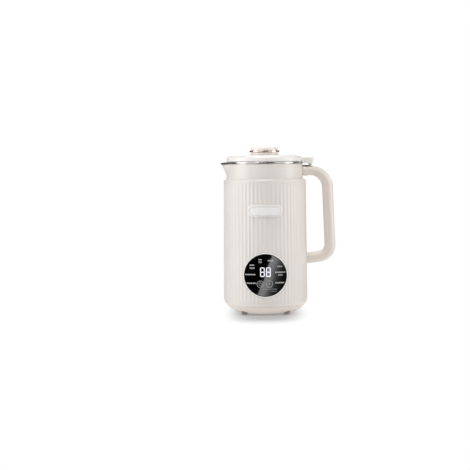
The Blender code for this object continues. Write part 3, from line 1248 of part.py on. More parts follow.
def make_blade_seat():
    bore = SHAFT_RADIUS + FIT
    flange_bottom = CUP_FLOOR + FIT
    neck_bottom = CHASSIS_TOP + SEAT_FOOT_GAP
    profile = [
        (bore, neck_bottom),
        (SEAT_NECK_RADIUS, neck_bottom),
        (SEAT_NECK_RADIUS, flange_bottom),
        (SEAT_FLANGE_RADIUS, flange_bottom),
        (SEAT_NECK_RADIUS, SEAT_TOP),
        (bore, SEAT_TOP),
    ]
    turned("blade_seat", profile, MOTOR_STEPS, "polished_steel")
    nut_top = CUP_BOTTOM - FIT
    nut = ring_profile(SEAT_NECK_RADIUS + FIT, SEAT_NUT_RADIUS, nut_top - SEAT_NUT_HEIGHT, nut_top)
    turned("seat_nut", nut, MOTOR_STEPS, "brass")
    seal = ring_profile(bore, SHAFT_SEAL_RADIUS, SEAT_TOP + FIT, SHAFT_SEAL_TOP)
    turned("shaft_seal", seal, SMALL_STEPS, "silicone")


make_outer_shell()
make_base_cover()
make_neck_collar()
make_inner_cup()
make_lid()
make_knob()
make_handle()
make_interlock()
make_display()
make_name_plate()
make_inlet()
make_chassis()
make_motor()
make_drive()
make_blade_seat()
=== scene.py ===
"""Countertop soy milk maker, dressed: a fluted jug with a steel rim and a drawn spout, a lift-off lid
with a copper-ringed knob, a loop handle at its side and a round touch panel on its front.

The object's own sizes are in millimetres, with places about the axis of the body, and mesh_of puts them
into the frame. The stage, with its cards, lamps and camera, is in metres."""

import math

import bmesh
import bpy
from mathutils import Matrix, Vector


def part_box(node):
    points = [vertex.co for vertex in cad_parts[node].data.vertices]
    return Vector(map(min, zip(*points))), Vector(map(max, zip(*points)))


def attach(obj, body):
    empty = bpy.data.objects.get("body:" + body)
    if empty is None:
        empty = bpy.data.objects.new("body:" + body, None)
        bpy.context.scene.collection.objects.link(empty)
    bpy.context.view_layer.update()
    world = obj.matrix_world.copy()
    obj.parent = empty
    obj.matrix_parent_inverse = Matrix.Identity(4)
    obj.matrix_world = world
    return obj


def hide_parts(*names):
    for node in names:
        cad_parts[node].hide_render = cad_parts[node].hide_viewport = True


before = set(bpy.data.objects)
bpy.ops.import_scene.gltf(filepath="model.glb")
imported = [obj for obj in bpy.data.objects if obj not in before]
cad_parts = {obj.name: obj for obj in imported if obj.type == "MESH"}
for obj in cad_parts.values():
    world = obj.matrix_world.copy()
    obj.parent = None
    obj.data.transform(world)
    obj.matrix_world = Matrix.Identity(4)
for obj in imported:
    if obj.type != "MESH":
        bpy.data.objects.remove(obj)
for startup in ("Cube", "Light", "Camera"):
    if startup in bpy.data.objects:
        bpy.data.objects.remove(bpy.data.objects[startup])
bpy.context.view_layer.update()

MM = 0.001
KNOB_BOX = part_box("knob_ring")
AXIS_X = (KNOB_BOX[0].x + KNOB_BOX[1].x) / 2

# Room between pieces, how far a cutter reaches past what it cuts, and the usual roundings of edges.
CLEARANCE = 0.3
PAST = 1
FINE = 0.2
CRISP = 0.3
SOFT = 0.5
FULL = 0.8

# Body shell.
BODY_RADIUS = 63.5
BODY_TAPER = 1.5
SHELL_BOTTOM = 13.3
SHELL_TOP = 202
SHELL_WALL = 2.5
SHELL_ROWS = (26, 60, 110, 160, 190)
JOINT_EDGE = 0.12
SHOULDER_RADIUS = 62
SHOULDER_LIP = 0.3
SHOULDER_DROP = 0.6
SHOULDER_ROUND = 2.6
LEDGE_RISE = 1.3
FLUTE_COUNT = 64
FLUTE_DEPTH = 0.52
FLUTE_STEPS = 12
FLUTE_START = (15, 25)
FLUTE_END = (195.5, 198.8)
FADE_STEPS = 7
RIDGE_SHARPNESS = 0.72

# Base dish. Its rounding is part of an ellipse, and its hollow is the shallow middle of its underside.
BASE_ROUND = 32
BASE_RISE = 24
ROUND_TOP = 25
SHELL_ROUND_STEPS = 9
BASE_ROUND_STEPS = 16
BASE_BOTTOM = 0.8
BASE_TOP = 13.12
BASE_FLOOR = 5.5
BASE_FLOOR_RADIUS = 41.5
BASE_RIM_RADIUS = 56.8
HOLLOW_RADIUS = 29
HOLLOW_DEPTH = 0.8
HOLLOW_SLANT = 0.5
HOLLOW_ROUND = 0.4
SLOT_COUNT = 8
SLOT_CIRCLE = 22
SLOT_HALF_LENGTH = 7
SLOT_HALF_WIDTH = 1.5
SLOT_CORNER = 1.45
SLOT_TOP = 9

# Feet and screws, with the recesses and pockets that they sit in.
FOOT_TURNS = [math.radians(turn) for turn in (45, 135, 225, 315)]
FOOT_CIRCLE = 45
FOOT_RADIUS = 4.9
FOOT_HEIGHT = 4.9
FOOT_ROUND = 0.9
FOOT_PAD = 2.6
FOOT_PAD_HEIGHT = 0.35
FOOT_PAD_SLANT = 0.2
RECESS_RADIUS = 5.2
RECESS_TOP = 5.1
SCREW_TURNS = [math.radians(turn) for turn in (30, 150, 210, 330)]
SCREW_CIRCLE = 48
SCREW_SEAT = 7.2
POCKET_TOP = 7.5
SCREW_RADIUS = 1.6
SCREW_TIP = 0.9
SCREW_TAPER = 0.8
SCREW_HEAD = 3.2
SCREW_HEAD_DEPTH = 2
SCREW_CROWN = 1.1
CROSS_REACH = 1.9
CROSS_HALF_WIDTH = 0.35
CROSS_DEPTH = 1
BASE_SCREW_LENGTH = 12
HANDLE_SCREW_LENGTH = 8

# Neck, cup and spout. NECK_ROWS and CUP_ROWS hold the longest row of the part that is drawn out into the
# spout, and the height from which there are such rows.
NECK_RADIUS = 57.6
NECK_BORE = 55.1
NECK_BOTTOM = 202.3
NECK_TOP = 225.9
NECK_SKIRT = 194.3
NECK_LEDGE = 203
NECK_ROWS = (1, 204)
LEDGE_RADIUS = 59
CUP_RADIUS = 54.5
CUP_BORE = 53.7
CUP_BOTTOM = 97.3
CUP_FLOOR = 98.1
CUP_CORNER = 8
CUP_HOLE = 9.3
CUP_ROWS = (1.2, 208)
RIM_RADIUS = 58.4
RIM_BOTTOM = 226.2
RIM_TOP = 229.3
RIM_ROUND = 1.45
SPOUT_REACH = 8.9
SPOUT_DROP = 20
SPOUT_HALF_ANGLE = math.radians(26)
SPOUT_POWER = 1.1
SPOUT_DIP = 1.4

# Lid, with its tab over the handle and the cam that presses the interlock pin.
LID_RADIUS = 57.5
LID_BOTTOM = 229.6
LID_TOP = 239.3
LID_FLAT = 30
LID_DROP = 5.5
LID_FULLNESS = 4.34
LID_STEPS = 22
LID_WALL = 2.2
LID_WALL_TOP = 232
LID_HOLE = 2
LID_UNDERSIDE = ((52.5, 235.3), (46, 236.8), (38, 237.1), (LID_HOLE, 237.1))
TAB_START = 54
TAB_END = 74
TAB_HALF = 13
TAB_CORNER = 3.4
TAB_ROUND = 1.1
TAB_TOP = 235.6
TAB_BOTTOM = 226.6
ROOM_END = 59.5
ROOM_MIDDLE = 45
ROOM_HALF_WIDTH = 20
ROOM_BOTTOM = 220
ROOM_TOP = 233.2
CAM_RADIUS = 3
CAM_BOTTOM = 225
CAM_SINK = 2

# Liner and seal under the lid. The seal has two lips, one pitch from each of its valleys.
LINER_RADIUS = 50.5
LINER_RIDGE = 52.2
LINER_BOTTOM = 204.1
LINER_TOP = 235.4
LINER_WALL = 1.8
LINER_FLOOR = 2.7
DISH_RADIUS = 30
DISH_DEPTH = 0.9
DISH_ROUND = 0.6
DISH_SLANT = 1
RIDGE_HEIGHT = 1.2
UPPER_RIDGE = 210.3
SEAL_RADIUS = 53.3
SEAL_VALLEY = 52.1
SEAL_BOTTOM = 205.6
SEAL_PITCH = 1.1

# Knob.
KNOB_RADIUS = 21.1
KNOB_BOTTOM = 239.6
KNOB_BASE_TOP = 243.2
KNOB_BASE_ROUND = 0.6
SPIGOT_RADIUS = 14
RING_RADIUS = 22.6
RING_BOTTOM = 243.5
RING_TOP = 246.3
CAP_RADIUS = 20
CAP_BOTTOM = 246.6
CAP_TOP = 252.1
CAP_ROUND = 2.7
CAP_DOME = 0.7
CAP_STEPS = 8

# Handle, of two halves that meet at a seam. Its corners are a share of its thickness.
HANDLE_WIDTH = 24
HANDLE_WALL = 2.4
HANDLE_ROUNDING = 0.46
HANDLE_START = 53.6
HANDLE_ROOT = 60
ARM_Z = 215.3
ARM_END = 69.1
UPPER_THICKNESS = 14.1
GRIP_THICKNESS = 16.1
LOWER_THICKNESS = 15.6
UPPER_BEND = 26.1
LOWER_BEND = 17.7
GRIP_LENGTH = 86.8
GRIP_LEAN = math.radians(1.95)
LOWER_SLOPE = math.radians(7.5)
LOWER_SINK = 4
BEND_STEPS = 14
CORNER_STEPS = 7
SEAM_GAP = 0.12
SEAM_ROUND = 0.2
SEAM_SHARE = 0.3
# Where the sections of a straight stretch are, as shares of its length.
STRAIGHT_PARTS = (0.04, 0.5, 0.96, 1)
# Radius, bottom and top of what is cut away where the handle meets the neck and the body.
NECK_CUT = (NECK_RADIUS + 0.1, NECK_BOTTOM - 2, NECK_TOP + 5)
BODY_CUT = (BODY_RADIUS - 1, 60, 110)

# What sits in the handle's upper arm: a screw, and the interlock pin in a dark plate, whose sizes are half
# its width, half its height and its corner. The dark plate is painted shade: it gives the dark line of
# shade where the lid's tab shades the arm.
UPPER_SCREW_X = 61.7
UPPER_SCREW_SEAT = 209.75
UPPER_POCKET = (200, 210.8)
PIN_X = 69.5
PIN_RADIUS = 2.5
PIN_HOLE = 2.8
PIN_BOTTOM = 216.85
PIN_TOP = 224.7
PIN_ROUND = 0.7
COLLAR_RADIUS = 3.7
COLLAR_TOP = 217.45
SHADE_PLATE_X = 62.7
SHADE_PLATE_SIZES = (4.6, 8, 2)
SHADE_PLATE_HEIGHTS = (222.1, 223.7)
SHADE_PLATE_ROUND = 0.25

# Panel and its bezel, which are both part of an upright cylinder in front.
PANEL_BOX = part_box("display_panel")
PANEL_Z = (PANEL_BOX[0].z + PANEL_BOX[1].z) / 2 / MM
PANEL_RADIUS = (PANEL_BOX[1].z - PANEL_BOX[0].z) / 2 / MM
PANEL_FACE = -PANEL_BOX[0].y / MM
PANEL_THICKNESS = 2
PANEL_RINGS = (0, 6, 12, 18, 24, 28)
PANEL_BACK_RINGS = (28, 14, 0)
PANEL_CUT = (-70, -30)
BEZEL_FACE = PANEL_FACE + 0.4
BEZEL_RADIUS = PANEL_RADIUS + 2
BEZEL_GAP = 0.15
BEZEL_DEPTH = 6

# Marks on the panel, from its middle. A digit is (across, up, width), and a label (across, up, length).
MARK_LIFT = 0.06
MARK_SINK = 0.05
STROKE_ROW = 0.6
STROKE_END_STEPS = 4
STROKE_END_SHARE = 0.98
DIGITS = ((-4.5, 5, 6.6), (4.3, 5, 6.8))
DIGIT_HEIGHT = 13.8
DIGIT_LINE = 1.2
SEGMENT_GAP = 0.62
LABELS = (
    (-7.8, 23.4, 4.4),
    (-7.6, 19.7, 5.0),
    (7.8, 21.9, 8.4),
    (-20.0, 15.2, 6.8),
    (-19.7, 10.8, 7.6),
    (-22.4, 1.3, 15.2),
    (-20.9, -11.6, 13.8),
    (21.1, 13.1, 7.4),
    (21.9, 4.5, 14.8),
    (22.2, 0.4, 6.2),
    (21.0, -11.1, 13.4),
)
# Heights of the short upright strokes that a label is made of, in turn.
LABEL_STROKES = (1.5, 1.1, 1.1, 1.5, 1.1, 1.3, 1.1)
LABEL_PITCH = 0.95
LABEL_LINE = 0.62
LABEL_DROP = 0.55
# The two keys, each a ring round its symbol: an open circle with a bar, and a cross.
OPEN_KEY = (-7.6, -13)
CROSS_KEY = (5.8, -12.7)
KEY_RADIUS = 4.9
KEY_LINE = 0.8
SYMBOL_LINE = 0.7
SYMBOL_RADIUS = 2.3
SYMBOL_OPENING = math.radians(35)
SYMBOL_BAR = (0.6, 2.8)
CROSS_ARM = 2.2
# (left end, right end, up) of the thin lines under the keys.
UNDERLINES = ((-4, 17, -20.3), (8, 17, -23.4))
UNDERLINE_WIDTH = 0.5

# Name plate: half width, half height and corner of its frame, of the frame's hollow and of the inset in it.
PLATE_Z = 156.7
PLATE_FACE = 63.9
FRAME_SIZES = (25.6, 8.65, 7)
FRAME_DEPTH = 1.7
FRAME_EDGE = 0.8
FRAME_HOLLOW = (23.1, 6.5, 6.4)
FRAME_HOLLOW_DEPTH = 1.3
INSET_SIZES = (22.7, 6.1, 6)
INSET_DEPTH = 1.2
INSET_EDGE = 0.4
INSET_DROP = 0.8
PLATE_POINTS = 160
EDGE_STEPS = 5

# Inlet at the rear.
INLET_Z = 38
INLET_HALF_WIDTH = 14
INLET_HALF_HEIGHT = 10.5
INLET_CORNER = 3
INLET_ROUND = 0.5
INLET_FACE = 63.97
INLET_BACK = 46.97
INLET_CUT = (40, 70)
SOCKET_MARGIN = 2.2
SOCKET_CUT = (51.47, 66.97)
SOCKET_CHAMFER = 4
SOCKET_CORNER = 1
CONTACT_CORNER = 0.3
CONTACT_ROUND = 0.45

# Steps round a turn, the distance within which points are merged, and what counts as a sharp edge.
TURN_STEPS = 192
SPOUT_STEPS = 256
SMALL_STEPS = 48
PANEL_STEPS = 128
BEZEL_STEPS = 160
MERGE_DISTANCE = 0.0005
SHARP_ANGLE = math.radians(32)

# Each finish: its skin, colour, shade, roughness, unevenness, grain or lines per metre, and the height of
# its bumps in millimetres.
FINISHES = {
    "cream_plastic": ("moulded", (0.80, 0.762, 0.727), (0.785, 0.747, 0.712), 0.36, 0.06, 2600, 0.012),
    "base_plastic": ("moulded", (0.775, 0.715, 0.665), (0.76, 0.70, 0.65), 0.36, 0.06, 2600, 0.012),
    "lid_plastic": ("moulded", (0.91, 0.89, 0.86), (0.895, 0.875, 0.845), 0.33, 0.06, 2600, 0.01),
    "knob_plastic": ("moulded", (0.95, 0.893, 0.85), (0.935, 0.878, 0.835), 0.3, 0.06, 2600, 0.01),
    "bright_trim": ("moulded", (0.96, 0.95, 0.93), (0.94, 0.93, 0.91), 0.2, 0.05, 2600, 0.004),
    "handle_plastic": ("moulded", (0.83, 0.757, 0.695), (0.815, 0.742, 0.68), 0.32, 0.08, 2600, 0.01),
    "pale_plate": ("moulded", (0.93, 0.915, 0.925), (0.91, 0.895, 0.91), 0.3, 0.08, 1800, 0.008),
    "polished_steel": ("turned", (0.74, 0.72, 0.70), (0.66, 0.64, 0.62), 0.17, 0.08, 5200, 0.0015),
    "copper_plate": ("turned", (0.88, 0.72, 0.63), (0.83, 0.65, 0.555), 0.14, 0.06, 5200, 0.001),
    "black_gloss": ("moulded", (0.0013, 0.0014, 0.0013), (0.0017, 0.0018, 0.0017), 0.07, 0.03, 900, 0.0008),
    "display_white": ("moulded", (0.80, 0.80, 0.82), (0.75, 0.75, 0.78), 0.35, 0.05, 2200, 0.004),
    "circuit_board": ("moulded", (0.02, 0.13, 0.05), (0.03, 0.18, 0.07), 0.42, 0.15, 900, 0.03),
    "dark_plastic": ("moulded", (0.035, 0.034, 0.033), (0.045, 0.044, 0.043), 0.45, 0.12, 2200, 0.02),
    "black_rubber": ("moulded", (0.028, 0.027, 0.026), (0.04, 0.038, 0.036), 0.72, 0.12, 1600, 0.04),
    "silicone": ("moulded", (0.80, 0.79, 0.77), (0.76, 0.75, 0.73), 0.5, 0.08, 1800, 0.012),
    "aluminium": ("turned", (0.78, 0.78, 0.79), (0.70, 0.70, 0.71), 0.34, 0.15, 3800, 0.006),
    "zinc_steel": ("turned", (0.62, 0.62, 0.61), (0.55, 0.55, 0.54), 0.32, 0.15, 3800, 0.004),
    "motor_steel": ("turned", (0.34, 0.34, 0.36), (0.26, 0.26, 0.28), 0.48, 0.15, 2600, 0.02),
    "copper": ("turned", (0.75, 0.42, 0.26), (0.62, 0.31, 0.18), 0.34, 0.15, 1500, 0.06),
    "brass": ("turned", (0.78, 0.61, 0.30), (0.70, 0.53, 0.25), 0.28, 0.12, 3000, 0.004),
    "digit_light": ("moulded", (0.9, 0.9, 0.96), (0.86, 0.86, 0.94), 0.3, 0.05, 900, 0.001),
    "label_print": ("moulded", (0.56, 0.56, 0.57), (0.48, 0.48, 0.49), 0.35, 0.08, 1400, 0.001),
    "key_print": ("moulded", (0.40, 0.40, 0.41), (0.33, 0.33, 0.34), 0.35, 0.08, 1400, 0.001),
    "foot_rubber": ("moulded", (0.24, 0.215, 0.195), (0.27, 0.245, 0.22), 0.7, 0.12, 1600, 0.04),
}
# What a finish has besides its skin.
FINISH_EXTRAS = {
    "black_gloss": {"Coat Weight": 0.5, "Coat Roughness": 0.03, "IOR": 1.5},
    "silicone": {"Sheen Weight": 0.2},
    "digit_light": {"Emission Color": (0.80, 0.78, 0.95, 1), "Emission Strength": 0.6},
    # Painted glow: the labels are print, and this emission makes them brighter though they are no lamp.
    "label_print": {"Emission Color": (0.9, 0.9, 0.92, 1), "Emission Strength": 0.12},
}
# Patches of shade, finger touches and smears for each metre, and where the shade begins and is full.
PATCHES = 24
TOUCHES = 190
SMEARS = 60
PATCH_RANGE = (0.38, 0.62)
LINE_RANGE = (0.35, 0.65)
# How little the lines of turned metal change along the turn.
LINE_DRIFT = 0.0006

# Floor. It is shaded under and round the object, up to a distance to the sides, the front and the back,
# and fully so within SHADE_FULL of that distance. That shade is partly the lamps' real shadow on grey paper
# and partly painted shadow: the paper is grey, with a faint glow added, over that whole ellipse whether lit
# or not, and plain white beyond it.
FLOOR_REACH = 6
FLOOR_SHADE_PAPER = (0.42, 0.415, 0.415, 1)
FLOOR_LIFT = 0.125
FLOOR_GLOW = (1, 0.985, 0.96, 1)
FLOOR_BOUNCE = 0.56
SHADE_ASIDE = 0.066
SHADE_FRONT = 0.185
SHADE_BACK = 0.2
SHADE_FULL = 0.42
SHADE_POWER = 3.0
WHITE = (1, 1, 1, 1)

# Surroundings that only reflections see: dark cards that stand round the object or lie on the floor.
CARD_COLOURS = {
    "black_flag": (0, 0, 0),
    "front_flag": (0.01, 0.008, 0.007),
    "side_flag": (0.12, 0.11, 0.10),
}
FRONT_DISTANCE = 0.36
SIDE_DISTANCE = 0.8
SHEET_START = 0.09
SHEET_LIFT = 0.0005
# Name, colour, start and end in degrees from the front, and (distance, height) of both edges.
CARDS = (
    ("low_flag", "black_flag", -68, 68, (FRONT_DISTANCE, SHEET_LIFT), (FRONT_DISTANCE, 0.1)),
    ("front_flag", "front_flag", -20, 30, (FRONT_DISTANCE, 0.1), (FRONT_DISTANCE, 1.3)),
    ("front_sheet", "front_flag", -20, 30, (SHEET_START, SHEET_LIFT), (FRONT_DISTANCE, SHEET_LIFT)),
    ("left_flag", "side_flag", -165, -90, (SIDE_DISTANCE, 0.001), (SIDE_DISTANCE, 1.5)),
    ("right_flag", "side_flag", 92, 165, (SIDE_DISTANCE, 0.001), (SIDE_DISTANCE, 1.5)),
    ("left_sheet", "side_flag", -165, -90, (SHEET_START, SHEET_LIFT), (SIDE_DISTANCE, SHEET_LIFT)),
    ("right_sheet", "side_flag", 92, 165, (SHEET_START, SHEET_LIFT), (SIDE_DISTANCE, SHEET_LIFT)),
)
# Bright card in front: where its brightness starts, in degrees from the front at two heights, and its
# strength by the degrees from that start.
GLOW_LOW = (-18.2, 0.011)
GLOW_HIGH = (14.1, 0.069)
GLOW_SLOPE = (GLOW_HIGH[0] - GLOW_LOW[0]) / (GLOW_HIGH[1] - GLOW_LOW[1])
GLOW_FALL = ((0, 3.1), (8, 3.1), (14, 2.8), (20, 1.8), (29, 0.6), (40, 0.18), (50, 0.06), (66, 0.02))
GLOW_DISTANCE = 0.33
GLOW_TOP = 0.086
GLOW_SPAN = (-26, 66)
GLOW_STEPS = 46
CARD_STEPS = 24

# Lamps: azimuth and elevation in degrees, distance, width, height, power and colour.
LAMPS = {
    "left_softbox": (-75, 15, 1.7, 1.0, 1.5, 14, (1, 1, 1)),
    "right_softbox": (82, 15, 1.8, 1.0, 1.4, 14, (1.0, 0.99, 0.975)),
    "back_softbox": (180, 62, 1.8, 1.1, 1.1, 7, (1, 1, 1)),
    "top_softbox": (-15, 66, 1.5, 0.6, 0.6, 8.5, (1, 1, 1)),
}
LAMP_AIM = Vector((AXIS_X, 0, 0.13))
# Light from all round, its colour, and the brightness of the surroundings in reflections.
AMBIENT = 0.25
AMBIENT_COLOUR = (1.0, 0.995, 0.985, 1)
SHEEN = 0.82

# Camera, with its pitch, yaw and roll in degrees.
LENS = 116
SENSOR_WIDTH = 36
CAMERA_PLACE = (AXIS_X, -2.3, 0.227)
CAMERA_TURN = (2.7036, 1.1407, -0.55)


def body_radius(z):
    """Radius of the body on a ridge of its flutes."""
    if z < ROUND_TOP:
        return BODY_RADIUS - BASE_ROUND + BASE_ROUND * math.sqrt(1 - ((ROUND_TOP - z) / BASE_RISE) ** 2)
    return BODY_RADIUS - BODY_TAPER * (z - ROUND_TOP) / (SHELL_TOP - ROUND_TOP)


def smooth_step(value, start, end):
    """A share that eases from 0 at the start to 1 at the end."""
    share = min(1, max(0, (value - start) / (end - start)))
    return share * share * (3 - 2 * share)


def spout_flare(z, angle):
    """How far the neck and the cup are drawn outwards at this height, towards the spout at -X."""
    from_spout = abs(math.pi - angle % math.tau)
    if z <= RIM_TOP - SPOUT_DROP or from_spout >= SPOUT_HALF_ANGLE:
        return 0
    rise = min(1, (z - RIM_TOP + SPOUT_DROP) / SPOUT_DROP)
    return SPOUT_REACH * rise**SPOUT_POWER * (1 + math.cos(math.pi * from_spout / SPOUT_HALF_ANGLE)) / 2


# Outlines and meshes.


def rounded(corners, closed=True, steps=5, hold=0.3):
    """The points of an outline whose corners, given as (a, b, radius), are rounded. A short straight
    stretch is kept beside each rounding, so that the flat next to it shades flat."""
    outline = []
    count = len(corners)
    for i, (a, b, radius) in enumerate(corners):
        corner = Vector((a, b))
        if radius == 0 or (not closed and i in (0, count - 1)):
            outline.append((a, b))
            continue
        before = Vector(corners[i - 1][:2]) - corner
        after = Vector(corners[(i + 1) % count][:2]) - corner
        angle = before.angle(after)
        reach = radius / math.tan(angle / 2)
        towards = (before.normalized() + after.normalized()).normalized()
        centre = corner + towards * (radius / math.sin(angle / 2))
        start = corner + before.normalized() * reach - centre
        end = corner + after.normalized() * reach - centre
        first = math.atan2(start.y, start.x)
        sweep = (math.atan2(end.y, end.x) - first + math.pi) % math.tau - math.pi
        if before.length > 2 * (reach + hold):
            outline.append(tuple(corner + before.normalized() * (reach + hold)))
        for step in range(steps + 1):
            turn = first + sweep * step / steps
            outline.append((centre.x + radius * math.cos(turn), centre.y + radius * math.sin(turn)))
        if after.length > 2 * (reach + hold):
            outline.append(tuple(corner + after.normalized() * (reach + hold)))
    return outline


def refined(outline, longest, above):
    """The outline with points added on the stretches higher up, so that they can follow a curve."""
    points = []
    for (a1, b1), (a2, b2) in zip(outline, outline[1:] + outline[:1]):
        points.append((a1, b1))
        pieces = math.ceil(math.hypot(a2 - a1, b2 - b1) / longest)
        if pieces > 1 and max(b1, b2) > above and abs(b2 - b1) > longest:
            for i in range(1, pieces):
                points.append((a1 + (a2 - a1) * i / pieces, b1 + (b2 - b1) * i / pieces))
    return points


def mesh_of(name, points, faces):
    """A mesh in the frame from points in millimetres about the body's axis, with its faces outwards."""
    mesh = bpy.data.meshes.new(name)
    mesh.from_pydata([(AXIS_X + x * MM, y * MM, z * MM) for x, y, z in points], [], faces)
    shape = bmesh.new()
    shape.from_mesh(mesh)
    bmesh.ops.remove_doubles(shape, verts=shape.verts, dist=MERGE_DISTANCE * MM)
    bmesh.ops.recalc_face_normals(shape, faces=shape.faces)
    shape.to_mesh(mesh)
    shape.free()
    return mesh


def upright(r, z, angle):
    """A place at a distance from the body's axis, a height and an angle round it."""
    return (r * math.cos(angle), r * math.sin(angle), z)


def flared(r, z, angle):
    """The same place drawn outwards and slightly down where the spout is."""
    flare = spout_flare(z, angle)
    return upright(r + flare, z - SPOUT_DIP * flare / SPOUT_REACH, angle)


def turned(name, outline, steps=TURN_STEPS, place=upright):
    """An outline of (radius, height) carried round. One that starts and ends on the axis closes there."""
    rows = len(outline)
    on_axis = outline[0][0] == 0 and outline[-1][0] == 0
    points = [place(r, z, math.tau * i / steps) for i in range(steps) for r, z in outline]
    faces = []
    for i in range(steps):
        near = i * rows
        far = (i + 1) % steps * rows
        for j in range(rows - 1 if on_axis else rows):
            k = (j + 1) % rows
            faces.append((near + j, far + j, far + k, near + k))
    return mesh_of(name, points, faces)


def band_faces(rows, count):
    """The faces between rings of points, each ring and the next."""
    faces = []
    for row in range(rows - 1):
        for i in range(count):
            j = (i + 1) % count
            faces.append((row * count + i, row * count + j, (row + 1) * count + j, (row + 1) * count + i))
    return faces


def lofted(name, rings):
    """A closed solid through rings of equally many points, capped at both ends."""
    count = len(rings[0])
    points = [point for ring in rings for point in ring]
    faces = band_faces(len(rings), count)
    last = (len(rings) - 1) * count
    faces.append(tuple(range(count))[::-1])
    faces.append(tuple(range(last, last + count)))
    return mesh_of(name, points, faces)


def prism(name, outline, low, high, axis="z"):
    """An outline of (x, y) carried up, or of (x, z) carried back where the axis is y."""
    rings = []
    for level in (low, high):
        rings.append([(a, level, b) if axis == "y" else (a, b, level) for a, b in outline])
    return lofted(name, rings)


def rod(name, radius, low, high, axis="z", centre=(0, 0), steps=SMALL_STEPS):
    """A plain round rod, to cut with or to join on."""
    angles = [math.tau * i / steps for i in range(steps)]
    outline = [(centre[0] + radius * math.cos(a), centre[1] + radius * math.sin(a)) for a in angles]
    return prism(name, outline, low, high, axis)


def rectangle(half_width, half_height, corner, centre=(0, 0), steps=6):
    """The outline of a rectangle with rounded corners."""
    x, y = centre
    corners = [
        (x + half_width, y - half_height, corner),
        (x + half_width, y + half_height, corner),
        (x - half_width, y + half_height, corner),
        (x - half_width, y - half_height, corner),
    ]
    return rounded(corners, steps=steps)


# Pieces.


def new_object(name, data):
    thing = bpy.data.objects.new(name, data)
    bpy.context.scene.collection.objects.link(thing)
    return thing


def apply_steps(thing):
    """Turns what the modifiers make into the object's own plain mesh, and takes the modifiers off."""
    graph = bpy.context.evaluated_depsgraph_get()
    mesh = bpy.data.meshes.new_from_object(thing.evaluated_get(graph))
    thing.modifiers.clear()
    mesh.name = thing.name
    thing.data = mesh


def combined(thing, meshes, operation="DIFFERENCE"):
    """Cuts meshes from a piece, or joins them to it."""
    helpers = []
    for mesh in meshes:
        helper = new_object("helper", mesh)
        helpers.append(helper)
        step = thing.modifiers.new("combine", "BOOLEAN")
        step.operation = operation
        step.solver = "EXACT"
        step.object = helper
    apply_steps(thing)
    for helper in helpers:
        bpy.data.objects.remove(helper)


def bevelled(thing, width, steps=4):
    """Rounds the sharp edges of a piece."""
    step = thing.modifiers.new("bevel", "BEVEL")
    step.width = width * MM
    step.segments = steps
    step.limit_method = "ANGLE"
    step.angle_limit = SHARP_ANGLE
    apply_steps(thing)


def finish(thing, material, body, nodes=()):
    """Gives a piece its material and shading, and puts it on its body in place of the CAD nodes."""
    mesh = thing.data
    mesh.materials.clear()
    mesh.materials.append(MATERIALS[material])
    for face in mesh.polygons:
        face.material_index = 0
    mesh.shade_smooth()
    mesh.set_sharp_from_angle(angle=SHARP_ANGLE)
    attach(thing, body)
    if nodes:
        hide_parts(*nodes)


# Node trees.


class Tree:
    """A node tree, and short ways to add nodes to it and to wire them."""

    def __init__(self, tree):
        self.tree = tree

    def node(self, kind, inputs=(), **settings):
        made = self.tree.nodes.new(kind)
        for setting, value in settings.items():
            setattr(made, setting, value)
        for socket, value in dict(inputs).items():
            self.feed(made.inputs[socket], value)
        return made

    def feed(self, socket, value):
        if isinstance(value, bpy.types.NodeSocket):
            self.tree.links.new(value, socket)
        else:
            socket.default_value = value

    def math(self, operation, *values):
        return self.node("ShaderNodeMath", dict(enumerate(values)), operation=operation).outputs[0]

    def spread(self, value, low, high, to_low=0.0, to_high=1.0, kind="LINEAR"):
        ranges = {"From Min": low, "From Max": high, "To Min": to_low, "To Max": to_high}
        made = self.node("ShaderNodeMapRange", {"Value": value, **ranges}, interpolation_type=kind)
        return made.outputs["Result"]

    def blend(self, share, first, second):
        """The first colour faded into the second, by a Mix node's sockets for colours."""
        made = self.node("ShaderNodeMix", {0: share, 6: first, 7: second}, data_type="RGBA")
        return made.outputs[2]

    def noise(self, place, scale, detail):
        made = self.node("ShaderNodeTexNoise", {"Vector": place, "Scale": scale, "Detail": detail})
        return made.outputs["Fac"]

    def about_axis(self, place, axis_x):
        """The x, y and z of a place, with x from an upright axis."""
        x, y, z = self.node("ShaderNodeSeparateXYZ", {0: place}).outputs
        return self.math("SUBTRACT", x, axis_x), y, z

    def radius(self, x, y):
        return self.math("SQRT", self.math("ADD", self.math("MULTIPLY", x, x), self.math("MULTIPLY", y, y)))


def new_group(name, kind, inputs, outputs):
    """A node group with named sockets. Returns its tree, what goes into it and what comes out of it."""
    group = bpy.data.node_groups.new(name, kind)
    for label, socket in inputs:
        group.interface.new_socket(label, in_out="INPUT", socket_type="NodeSocket" + socket)
    for label, socket in outputs:
        group.interface.new_socket(label, in_out="OUTPUT", socket_type="NodeSocket" + socket)
    tree = Tree(group)
    entry = tree.node("NodeGroupInput")
    exit_node = tree.node("NodeGroupOutput")
    return tree, entry.outputs, exit_node.inputs


def run_tree(thing, group, **values):
    """Runs a geometry tree on an object with its named inputs set, and keeps the result as its mesh."""
    step = thing.modifiers.new(group.name, "NODES")
    step.node_group = group
    for item in group.interface.items_tree:
        label = item.name.replace(" ", "_").lower()
        if item.item_type == "SOCKET" and item.in_out == "INPUT" and label in values:
            step[item.identifier] = values[label]
    apply_steps(thing)


